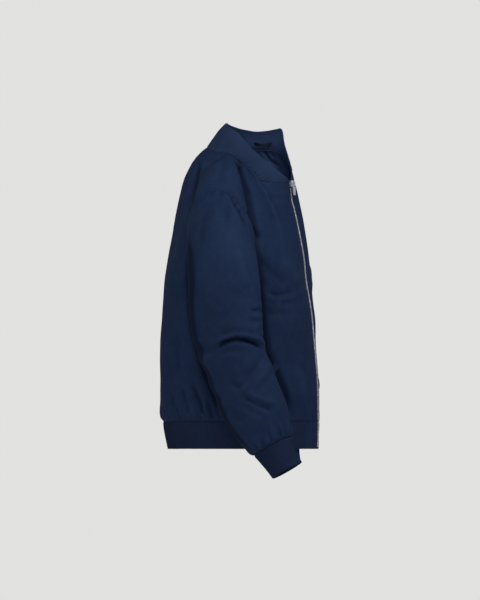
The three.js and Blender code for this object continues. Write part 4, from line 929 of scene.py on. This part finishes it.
def wall(name, piece, thickness, materials, ribs=None, flip=False):
    """A closed wall round a piece's middle surface, with rounded rims."""
    grid, normal, around = piece.grid, piece.normal, piece.around
    rows, columns = grid.shape[:2]
    rim = np.minimum(piece.v, piece.v_left)
    if not around:
        rim = np.minimum(rim, np.minimum(piece.u, piece.u_left))
    half = thickness / 2
    inset = 1 - np.clip(rim / half, 0, 1)
    half_here = half * np.maximum(np.sqrt(np.maximum(0, 1 - inset**2)), 0.12)
    lift = half_here if ribs is None else half_here + ribs
    outside = grid + normal * lift[..., None]
    inside = grid - normal * half_here[..., None]
    points = np.concatenate([outside.reshape(-1, 3), inside.reshape(-1, 3)])
    number = np.arange(rows * columns).reshape(rows, columns)
    if around:
        number = np.concatenate([number, number[:, :1]], 1)
    back = number + rows * columns
    a, b, c, d = number[:-1, :-1], number[:-1, 1:], number[1:, 1:], number[1:, :-1]
    front = np.stack([a, b, c, d], -1).reshape(-1, 4)
    rear = front[:, ::-1] + rows * columns
    edges = [
        np.stack([number[0, 1:], number[0, :-1], back[0, :-1], back[0, 1:]], -1),
        np.stack([number[-1, :-1], number[-1, 1:], back[-1, 1:], back[-1, :-1]], -1),
    ]
    if not around:
        edges += [
            np.stack([number[:-1, 0], number[1:, 0], back[1:, 0], back[:-1, 0]], -1),
            np.stack([number[1:, -1], number[:-1, -1], back[:-1, -1], back[1:, -1]], -1),
        ]
    faces = np.concatenate([front, rear, *edges])
    if flip:
        faces = faces[:, ::-1]
    index = np.zeros(len(faces), int)
    if len(materials) > 1:
        index[len(front) : 2 * len(front)] = 1
    item = mesh_object(name, points, faces, materials, index)
    cut = np.stack([piece.u, piece.v, np.zeros_like(piece.u)], -1).reshape(-1, 3) / 1000
    attribute(item, "cut", np.concatenate([cut, cut]))
    relief_and_painted_shade = np.concatenate([piece.relief_and_painted_shade.ravel(), -piece.relief_and_painted_shade.ravel()])
    attribute(item, "relief_and_painted_shade", relief_and_painted_shade)
    if ribs is not None:
        knit = np.stack([piece.rib_phase, piece.v / 1.9, ribs], -1).reshape(-1, 3)
        attribute(item, "knit", np.concatenate([knit, knit]))
    return item


def line_on(piece, distance, offset, thickness, axis, keep=None):
    """Points and normals of a line on the outer face, a set distance from an edge."""
    surface = piece.grid + piece.normal * (thickness / 2)
    points, normals = [], []
    count = surface.shape[0] if axis == 1 else surface.shape[1]
    for k in range(count):
        row = k if axis == 1 else (slice(None), k)
        d, p, n = distance[row], surface[row], piece.normal[row]
        order = np.argsort(d)
        if offset > d.max():
            continue
        points.append([np.interp(offset, d[order], p[order, i]) for i in range(3)])
        normals.append([np.interp(offset, d[order], n[order, i]) for i in range(3)])
    points, normals = np.array(points), unit(np.array(normals))
    if keep is not None:
        chosen = keep(points)
        points, normals = points[chosen], normals[chosen]
    return points, normals


STITCH_LENGTH, STITCH_PITCH, STITCH_RADIUS = 2.5, 3.1, 0.3
# rings along a stitch: place as a share of its length, size and lift as shares of its radius
STITCH_RINGS = np.array([
    [-0.5, 0.15, -0.5], [-0.34, 0.8, 0.1], [0, 1, 0.42], [0.34, 0.8, 0.1], [0.5, 0.15, -0.5],
])


def stitches(name, lines, material):
    """Rows of single stitches, each a short thread that dips at both ends."""
    def at(run, distance, source):
        return np.array([np.interp(distance, run, source[:, i]) for i in range(3)])

    corners = np.array([[1, 0], [0, 1], [-1, 0], [0, -1]])
    points, faces = [], []
    base = 0
    for path, normals in lines:
        if len(path) < 2:
            continue
        run = np.concatenate([[0], np.cumsum(np.linalg.norm(np.diff(path, axis=0), axis=1))])
        count = int(run[-1] / STITCH_PITCH)
        for k in range(count):
            middle = (k + 0.5) * STITCH_PITCH
            centre, normal = at(run, middle, path), unit(at(run, middle, normals))
            along = unit(at(run, middle + 1, path) - at(run, middle - 1, path))
            across = np.cross(normal, along)
            for t, size, lift in STITCH_RINGS:
                spot = centre + along * t * STITCH_LENGTH + normal * lift * STITCH_RADIUS
                for a, b in corners:
                    points.append(spot + (across * a + normal * b) * STITCH_RADIUS * size)
            for r in range(len(STITCH_RINGS) - 1):
                low = base + r * 4
                for c in range(4):
                    d = (c + 1) % 4
                    faces.append([low + c, low + d, low + 4 + d, low + 4 + c])
            faces.append([base, base + 3, base + 2, base + 1])
            last = base + (len(STITCH_RINGS) - 1) * 4
            faces.append([last, last + 1, last + 2, last + 3])
            base += len(STITCH_RINGS) * 4
    return mesh_object(name, np.array(points), np.array(faces), [material])


# Materials


class Nodes:
    """Builds a material's nodes with short calls."""

    def __init__(self, name):
        self.material = bpy.data.materials.new(name)
        self.material.use_nodes = True
        self.tree = self.material.node_tree
        self.tree.nodes.clear()
        self.output = self.tree.nodes.new("ShaderNodeOutputMaterial")
        self.shader = self.tree.nodes.new("ShaderNodeBsdfPrincipled")
        self.link(self.shader.outputs[0], self.output.inputs["Surface"])

    def link(self, source, target):
        self.tree.links.new(source, target)

    def put(self, socket, value):
        if isinstance(value, bpy.types.NodeSocket):
            self.link(value, socket)
        else:
            socket.default_value = value

    def math(self, operation, a, b=0.0):
        node = self.tree.nodes.new("ShaderNodeMath")
        node.operation = operation
        self.put(node.inputs[0], a)
        self.put(node.inputs[1], b)
        return node.outputs[0]

    def read(self, name):
        node = self.tree.nodes.new("ShaderNodeAttribute")
        node.attribute_name = name
        return node

    def split(self, vector):
        node = self.tree.nodes.new("ShaderNodeSeparateXYZ")
        self.link(vector, node.inputs[0])
        return node.outputs

    def noise(self, scale, detail=3.0, roughness=0.5):
        node = self.tree.nodes.new("ShaderNodeTexNoise")
        node.inputs["Scale"].default_value = scale
        node.inputs["Detail"].default_value = detail
        node.inputs["Roughness"].default_value = roughness
        place = self.tree.nodes.new("ShaderNodeTexCoord").outputs["Object"]
        self.link(place, node.inputs["Vector"])
        return node.outputs["Fac"]

    def ramp(self, value, low, high, out_low, out_high):
        node = self.tree.nodes.new("ShaderNodeMapRange")
        self.put(node.inputs["Value"], value)
        node.inputs["From Min"].default_value = low
        node.inputs["From Max"].default_value = high
        node.inputs["To Min"].default_value = out_low
        node.inputs["To Max"].default_value = out_high
        return node.outputs["Result"]

    def mix(self, factor, a, b):
        node = self.tree.nodes.new("ShaderNodeMix")
        node.data_type = "RGBA"
        self.put(node.inputs[0], factor)
        self.put(node.inputs[6], a)
        self.put(node.inputs[7], b)
        return node.outputs[2]

    def bump(self, height, strength, distance, normal=None):
        node = self.tree.nodes.new("ShaderNodeBump")
        node.inputs["Strength"].default_value = strength
        node.inputs["Distance"].default_value = distance
        self.link(height, node.inputs["Height"])
        if normal is not None:
            self.link(normal, node.inputs["Normal"])
        return node.outputs[0]

    def set(self, name, value):
        self.put(self.shader.inputs[name], value)


def linear(r, g, b):
    def channel(v):
        v /= 255
        return v / 12.92 if v <= 0.04045 else ((v + 0.055) / 1.055) ** 2.4
    return (channel(r), channel(g), channel(b), 1.0)


# painted shade: the colour the cloth takes where it lies lowest, far down in a crease and in the painted
# strips
PAINTED_SHADE_COLOUR = (0.0030, 0.0078, 0.0245, 1.0)


def woven(name, colour, dark, light, thread, roughness, specular):
    """A smooth, close weave with a fine diagonal, softly uneven dye and wear, and painted shade in creases.
    """
    n = Nodes(name)
    u, v, _ = n.split(n.read("cut").outputs["Vector"])
    turn = 2 * math.pi / thread
    diagonal = n.math("SINE", n.math("MULTIPLY", n.math("ADD", u, v), turn * 0.5))
    warp = n.math("SINE", n.math("MULTIPLY", u, turn))
    weft = n.math("SINE", n.math("MULTIPLY", v, turn))
    weave = n.math("ADD", n.math("MULTIPLY", warp, weft), n.math("MULTIPLY", diagonal, 0.7))
    cloudy = n.noise(7.0, 4.0, 0.55)
    mottled = n.noise(60.0, 3.0, 0.6)
    slub = n.noise(420.0, 2.0, 0.6)
    relief_and_painted_shade = n.read("relief_and_painted_shade").outputs["Fac"]
    base = n.mix(n.ramp(cloudy, 0.35, 0.65, 0, 1), dark, colour)
    base = n.mix(n.ramp(mottled, 0.42, 0.72, 0, 0.3), base, light)
    base = n.mix(n.ramp(relief_and_painted_shade, 1.0, 5.5, 0, 0.35), base, light)
    # painted shade: darker where the cloth lies low, in creases and in the painted strips
    base = n.mix(n.ramp(relief_and_painted_shade, -1.6, -7.5, 0, 0.88), base, PAINTED_SHADE_COLOUR)
    base = n.mix(n.ramp(slub, 0.55, 0.8, 0, 0.12), base, light)
    n.set("Base Color", n.mix(n.ramp(weave, -1.5, 1.5, 0.10, 0.0), base, dark))
    n.set("Roughness", n.ramp(n.math("ADD", mottled, n.math("MULTIPLY", cloudy, 0.6)), 0.5, 1.1,
                              roughness + 0.06, roughness - 0.05))
    n.set("Specular IOR Level", specular)
    slight = n.bump(n.noise(95.0, 4.0, 0.55), 0.35, 0.0006)
    crinkle = n.bump(n.noise(260.0, 3.0, 0.6), 0.22, 0.00025, slight)
    n.link(n.bump(weave, 0.35, 0.00005, crinkle), n.shader.inputs["Normal"])
    return n.material


def knitted(name, colour, dark, light):
    """Rib knit: columns of small V stitches on raised ribs, with painted shade in the valleys between them.
    """
    n = Nodes(name)
    rib, row, _ = n.split(n.read("knit").outputs["Vector"])
    half = n.math("PINGPONG", rib, 0.5)
    slant = n.math("ADD", row, n.math("MULTIPLY", half, 1.4))
    stitch = n.math("SINE", n.math("MULTIPLY", slant, 2 * math.pi))
    valley_shade = n.ramp(half, 0.0, 0.16, 1.0, 0.0)
    cloudy = n.noise(9.0, 4.0, 0.55)
    fuzz = n.noise(520.0, 3.0, 0.65)
    base = n.mix(n.ramp(cloudy, 0.35, 0.65, 0, 1), dark, colour)
    base = n.mix(n.ramp(stitch, -1, 1, 0.28, 0.0), base, dark)
    # painted shade in the valleys between the ribs
    base = n.mix(n.math("MULTIPLY", valley_shade, 0.35), base, dark)
    n.set("Base Color", n.mix(n.ramp(fuzz, 0.5, 0.8, 0, 0.25), base, light))
    n.set("Roughness", n.ramp(fuzz, 0.3, 0.8, 0.82, 0.94))
    n.set("Specular IOR Level", 0.12)
    soft = n.bump(fuzz, 0.3, 0.0002)
    n.link(n.bump(stitch, 0.6, 0.0002, soft), n.shader.inputs["Normal"])
    return n.material


def metal(name, colour, dark, roughness):
    """Satin plated metal, rubbed brighter in places and dull in others."""
    n = Nodes(name)
    cloudy = n.noise(140.0, 4.0, 0.6)
    fine = n.noise(1900.0, 2.0, 0.7)
    n.set("Base Color", n.mix(n.ramp(cloudy, 0.4, 0.7, 0, 0.75), colour, dark))
    n.set("Metallic", 0.55)
    n.set("Roughness", n.ramp(n.math("ADD", cloudy, n.math("MULTIPLY", fine, 0.3)), 0.4, 0.9,
                              roughness - 0.08, roughness + 0.14))
    n.link(n.bump(fine, 0.25, 0.00006), n.shader.inputs["Normal"])
    return n.material


def thread_material(name, colour, light):
    """Twisted sewing thread, a little shinier than the cloth."""
    n = Nodes(name)
    twist = n.noise(2600.0, 2.0, 0.6)
    n.set("Base Color", n.mix(n.ramp(twist, 0.35, 0.7, 0, 1), colour, light))
    n.set("Roughness", n.ramp(twist, 0.3, 0.7, 0.5, 0.66))
    n.link(n.bump(twist, 0.4, 0.0001), n.shader.inputs["Normal"])
    return n.material


shell = woven("shell_cloth", linear(32, 48, 77), linear(28, 42, 70), linear(40, 57, 88), 0.0011, 0.6, 0.05)
# The lining is lighter than the shell: painted light, so that the inside, which little light reaches, looks
# as light as the outside.
lining = woven("lining", linear(52, 71, 112), linear(45, 62, 100), linear(60, 80, 124), 0.0008, 0.5, 0.15)
knit = knitted("rib_knit", linear(33, 47, 75), linear(25, 37, 62), linear(42, 56, 86))
collar_knit = knitted("collar_knit", linear(45, 61, 93), linear(36, 51, 80), linear(54, 71, 104))
# The collar's inner face is a lighter copy of its knit: painted light for the inside of the neck, which
# little light reaches.
collar_inside = knitted("collar_inside", linear(58, 78, 116), linear(48, 66, 101), linear(68, 88, 128))
tape_cloth = woven("tape", linear(20, 28, 46), linear(14, 21, 37), linear(30, 39, 58), 0.0016, 0.75, 0.2)
silver = metal("zip_metal", linear(222, 226, 230), linear(158, 164, 171), 0.42)
thread = thread_material("sewing_thread", linear(23, 37, 62), linear(29, 44, 72))

# Pieces


def dress(item, nodes):
    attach(item, "jacket")
    if nodes:
        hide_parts(*nodes)


pieces = {}
for side in ("right", "left"):
    pieces[f"front_{side}"] = front_piece(side)
    pieces[f"sleeve_{side}"] = sleeve_piece(side)
    pieces[f"cuff_{side}"] = cuff_piece(side)
    pieces[f"hem_block_{side}"] = hem_block_piece(side)
pieces["back"] = back_piece()
pieces["hem_band"] = hem_band_piece()
pieces["collar"] = collar_piece()

made = {}
for name, piece in pieces.items():
    flip = piece.flipped
    if name.startswith(("cuff", "hem_band", "collar")):
        fabrics = [collar_knit, collar_inside] if name == "collar" else [knit]
        item = wall(f"{name}_knit", piece, KNIT, fabrics, piece.ribs, flip)
        dress(item, [name])
    else:
        item = wall(f"{name}_cloth", piece, CLOTH, [shell, lining], None, flip)
        dress(item, [name])
    made[name] = item

# Pocket welts, folded strips laid on the fronts

WELT = {"turnTop": 0.49, "heightTop": 186, "turnLow": 0.73, "heightLow": 78, "width": 17}


def sample(piece, side, s, level):
    """Points of a finished front panel at any share and level, by its own grid."""
    first = FRONT_EDGE / FRONT_GIRTH
    columns = first + (1 - first) * FRONT_COLUMNS
    grid, normal = piece.grid, piece.normal
    if side == "right":
        grid, normal = grid[:, ::-1], normal[:, ::-1]
    rows = body_levels()
    ci = np.interp(s, columns, np.arange(len(columns)))
    ri = np.interp(level, rows, np.arange(len(rows)))
    c, r = np.clip(ci.astype(int), 0, len(columns) - 2), np.clip(ri.astype(int), 0, len(rows) - 2)
    fc, fr = (ci - c)[..., None], (ri - r)[..., None]

    def take(source):
        low = source[r, c] * (1 - fc) + source[r, c + 1] * fc
        high = source[r + 1, c] * (1 - fc) + source[r + 1, c + 1] * fc
        return low * (1 - fr) + high * fr

    return take(grid), unit(take(normal))


for side in ("right", "left"):
    along = np.concatenate([[0, 0.004, 0.01, 0.02], np.linspace(0.035, 0.965, 40), [0.98, 0.99, 0.996, 1]])
    across = np.concatenate([[0, 0.03, 0.07, 0.12], np.linspace(0.2, 0.8, 8), [0.88, 0.93, 0.97, 1]])
    t, k = np.meshgrid(along, across, indexing="ij")
    offset = (k - 0.5) * WELT["width"]
    s = WELT["turnTop"] + (WELT["turnLow"] - WELT["turnTop"]) * t + offset * 0.78 / (FRONT_GIRTH - 2)
    height = WELT["heightTop"] + (WELT["heightLow"] - WELT["heightTop"]) * t + offset * 0.62
    points, normals = sample(pieces[f"front_{side}"], side, s, (height - HEM_SEAM) / (UNDERARM - HEM_SEAM))
    lift = CLOTH / 2 + 0.75 + 0.5 * np.sin(np.pi * k) * smooth(0, 0.06, t) * smooth(0, 0.06, 1 - t)
    grid = points + normals * lift[..., None]
    if side == "left":
        grid, lift = grid[:, ::-1], lift[:, ::-1]
    welt = Piece(grid)
    outward = normals if side == "right" else normals[:, ::-1]
    welt.normal = welt.normal * np.sign((welt.normal * outward).sum())
    flip = (normals_of(grid) * welt.normal).sum() < 0
    item = wall(f"pocket_welt_{side}_cloth", welt, 1.5, [shell], None, flip)
    dress(item, [f"pocket_welt_{side}"])
    pieces[f"welt_{side}"] = welt

# Zip: tapes behind the front edges, teeth between them

TAPE_OUTER_EDGE = 10.5
CHAIN_OUT = 1.0  # the teeth's middle lies this far in front of the cloth's middle
CHAIN_BOTTOM = 3.0
SLIDER_LOW = 574.0
TOOTH_PITCH = 2.9


def front_line(side, width, height):
    """Plain points of a front at a distance from the centre, at any height."""
    sign = -1 if side == "right" else 1
    low = ring_point(sign, "front", turn_at(width, height), height)
    level = np.where(height <= UNDERARM, (height - HEM_SEAM) / (UNDERARM - HEM_SEAM),
                     1 + (height - UNDERARM) / (ZIP_TOP - UNDERARM))
    high = quarter("front", side, width / FRONT_GIRTH + 0 * height, np.clip(level, 0, 2))
    return np.where((height <= HEM_SEAM + 1)[..., None], low, high)


for side in ("right", "left"):
    height = np.concatenate([np.linspace(CHAIN_BOTTOM, ZIP_TOP - 2, 230)])
    width = np.array([0.4, 0.9, 1.6, 2.4, 3.2, 4.0, 5.2, 6.8, 8.4, 9.6, 10.1, TAPE_OUTER_EDGE])
    if side == "right":
        width = width[::-1]
    w, h = np.meshgrid(width, height)
    grid = front_line(side, w, h)
    grid[..., 1] += 0.8 + 0.35 + 0.5 + 0.7 + 1.6 * smooth(480, ZIP_TOP, h) * (w / TAPE_OUTER_EDGE)
    item = wall(f"zip_tape_{side}_cloth", Piece(grid), TAPE, [tape_cloth])
    dress(item, [f"zip_tape_{side}"])

tooth_heights = np.arange(CHAIN_BOTTOM + 1.5, SLIDER_LOW, TOOTH_PITCH / 2)
# one tooth: corners of a rounded block, with its head towards the middle
profile = np.array([
    [-2.8, 0.50], [-2.5, 0.64], [-0.7, 0.64], [0.1, 0.72], [0.65, 0.52], [0.65, -0.52],
    [0.1, -0.72], [-0.7, -0.64], [-2.5, -0.64], [-2.8, -0.50],
])
layers = [(-1.6, 0.62), (-1.25, 0.94), (0.1, 1.0), (1.2, 0.94), (1.55, 0.7)]
points, faces = [], []
for k, height in enumerate(tooth_heights):
    sign = 1 if k % 2 else -1
    foot = front_line("left", np.array([0.4]), np.array([height]))[0]
    low = front_line("left", np.array([0.4]), np.array([height - 1.0]))[0]
    lean = math.atan2(foot[1] - low[1], foot[2] - low[2])
    base = len(points)
    for out, size in layers:
        for x, z in profile:
            x, z = (x + 0.9) * size - 0.9, z * size
            y = out * 1.0
            points.append([sign * x, foot[1] - CHAIN_OUT + y * math.cos(lean) + z * math.sin(lean),
                           height + z * math.cos(lean) - y * math.sin(lean)])
    n = len(profile)
    ring = list(range(n))
    for layer in range(len(layers) - 1):
        for c in ring:
            d = (c + 1) % n
            low = base + layer * n
            face = [low + c, low + d, low + n + d, low + n + c]
            faces.append(face if sign > 0 else face[::-1])
    for start, turn in ((base, 1), (base + (len(layers) - 1) * n, -1)):
        for a, b, c, d in ((0, 1, 8, 9), (1, 2, 7, 8), (2, 3, 6, 7), (3, 4, 5, 6)):
            face = [start + a, start + b, start + c, start + d][::-1][::turn]
            faces.append(face if sign > 0 else face[::-1])
teeth = mesh_object("zip_teeth", np.array(points), np.array(faces), [silver])
dress(teeth, ["zip_chain"])

# Hang loop inside the neck

LOOP = table("forward drop bow", [
    [33, 0, 0], [38, 1.2, 4.8], [45, 2.6, 9.6], [53, 3.2, 11.4], [61, 2.8, 9.6], [68, 1.4, 4.8],
    [73, 0, 0],
])
LOOP_HEIGHT, LOOP_WIDTH = 672.0, 6.0
LOOP_INWARD = 6.25  # from the neck seam in to the ends of the loop
seam_line = curve_through(NECK["front left"])(np.linspace(0.3, 1, 900))
seam_forward = SIDE_TURN * seam_line[:, 0] - SIDE_DEPTH * seam_line[:, 1]
order = np.argsort(seam_forward)
forward = np.linspace(33, 73, 60)
foot = np.stack([np.interp(forward, seam_forward[order], seam_line[order, i]) for i in range(3)], -1)
inward = np.stack([-foot[:, 0], -20 - foot[:, 1], 0 * forward], -1)
base = foot + unit(inward) * (LOOP_INWARD + read(LOOP, "forward", "bow", forward))[:, None]
drop = read(LOOP, "forward", "drop", forward)
rise = np.array([-0.5, -0.46, -0.4, -0.2, 0, 0.2, 0.4, 0.46, 0.5]) * LOOP_WIDTH
grid = np.stack([np.stack([base[:, 0], base[:, 1], LOOP_HEIGHT + r - drop], -1) for r in rise])
item = wall("hang_loop_cloth", Piece(grid), TAPE, [tape_cloth])
dress(item, ["hang_loop"])

# Sewing



def above_underarm(points):
    return points[:, 2] > UNDERARM + 4


def near_neck(points):
    return np.abs(points[:, 0]) < NECK_HALF_WIDTH


seams = {
    "hem": [], "armholes": [], "shoulders": [], "zip": [], "pockets": [], "collar": [], "cuffs": [],
}
for side in ("right", "left"):
    front = pieces[f"front_{side}"]
    for offset in (3.2, 8.6):
        seams["hem"].append(line_on(front, front.v, offset, CLOTH, 0))
    seams["zip"].append(line_on(front, front.zip_edge, 6.2, CLOTH, 1))
    seams["armholes"].append(line_on(front, front.side_edge, 3.4, CLOTH, 1, above_underarm))
    seams["collar"].append(line_on(front, front.v_left, 3.4, CLOTH, 0, near_neck))
    block = pieces[f"hem_block_{side}"]
    seams["zip"].append(line_on(block, block.zip_edge, 6.2, CLOTH, 1))
    welt = pieces[f"welt_{side}"]
    for distance, axis in ((welt.u, 1), (welt.u_left, 1), (welt.v, 0), (welt.v_left, 0)):
        seams["pockets"].append(line_on(welt, distance, 2.0, 1.5, axis))
    sleeve = pieces[f"sleeve_{side}"]
    seams["cuffs"].append(line_on(sleeve, sleeve.v, 3.0, CLOTH, 0))
back = pieces["back"]
for offset in (3.2, 8.6):
    seams["hem"].append(line_on(back, back.v, offset, CLOTH, 0))
for distance in (back.u, back.u_left):
    seams["armholes"].append(line_on(back, distance, 3.4, CLOTH, 1, above_underarm))
seams["shoulders"].append(line_on(back, back.v_left, 3.4, CLOTH, 0))
for name, lines in seams.items():
    item = stitches(f"stitches_{name}", lines, thread)
    dress(item, [])

# Metal of the slider and its pull

for name in ("zip_slider", "zip_pull"):
    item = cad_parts[name]
    for slot in item.material_slots:
        slot.material = silver

# Stage, lights and camera

bpy.ops.mesh.primitive_plane_add(size=24, location=(0, 0, -0.80))
floor = bpy.context.object
floor.name = "floor"
paper = Nodes("floor_paper")
paper.set("Base Color", paper.mix(paper.noise(3.0), (0.80, 0.80, 0.79, 1), (0.84, 0.84, 0.83, 1)))
paper.set("Roughness", 0.9)
floor.data.materials.append(paper.material)

world = bpy.data.worlds.new("studio")
world.use_nodes = True
sky = world.node_tree
paper_white, room = sky.nodes["Background"], sky.nodes.new("ShaderNodeBackground")
paper_white.inputs["Color"].default_value = (0.80, 0.80, 0.79, 1)
paper_white.inputs["Strength"].default_value = 0.95
room.inputs["Color"].default_value = (0.80, 0.86, 1.0, 1)
room.inputs["Strength"].default_value = 0.19
seen, either = sky.nodes.new("ShaderNodeLightPath"), sky.nodes.new("ShaderNodeMixShader")
sky.links.new(seen.outputs["Is Camera Ray"], either.inputs[0])
sky.links.new(room.outputs[0], either.inputs[1])
sky.links.new(paper_white.outputs[0], either.inputs[2])
sky.links.new(either.outputs[0], sky.nodes["World Output"].inputs["Surface"])
bpy.context.scene.world = world


def soft_light(name, position, aim, size, power):
    """A square light that faces the point it is aimed at."""
    light = bpy.data.lights.new(name, "AREA")
    light.shape = "SQUARE"
    light.size = size
    light.energy = power
    item = bpy.data.objects.new(name, light)
    item.location = position
    bpy.context.scene.collection.objects.link(item)
    aim = Vector(aim) - Vector(position)
    item.rotation_euler = aim.to_track_quat("-Z", "Y").to_euler()
    return item


CAMERA_TURN = math.radians(-77)
back_way = np.array([math.sin(CAMERA_TURN), -math.cos(CAMERA_TURN), 0])
right_way = np.array([math.cos(CAMERA_TURN), math.sin(CAMERA_TURN), 0])
up = np.array([0, 0, 1])
MIDDLE, CHEST = (0, 0, -0.25), (0, 0, -0.1)
soft_light("key", back_way * 1.9 + right_way * 0.3 + up * 0.55, MIDDLE, 1.3, 3.1)
soft_light("high", back_way * 1.3 + up * 1.2, CHEST, 1.0, 8.4)
soft_light("front", back_way * 0.9 + right_way * 1.1 + up * 0.75, CHEST, 0.7, 9.4)
soft_light("side", back_way * 1.6 - right_way * 1.0 + up * 0.2, MIDDLE, 1.0, 3.7)
soft_light("behind", back_way * 0.3 - right_way * 1.7 + up * 0.7, CHEST, 0.9, 4.6)

camera = bpy.data.objects.new("camera", bpy.data.cameras.new("camera"))
bpy.context.scene.collection.objects.link(camera)
camera.data.type = "ORTHO"
camera.data.ortho_scale = 1.32
camera.location = back_way * 3.0 + np.array([0, 0, -0.2922])
camera.rotation_euler = (math.pi / 2, 0, CAMERA_TURN)
camera.data.clip_end = 40
bpy.context.scene.camera = camera
bpy.context.scene.view_settings.view_transform = "Standard"
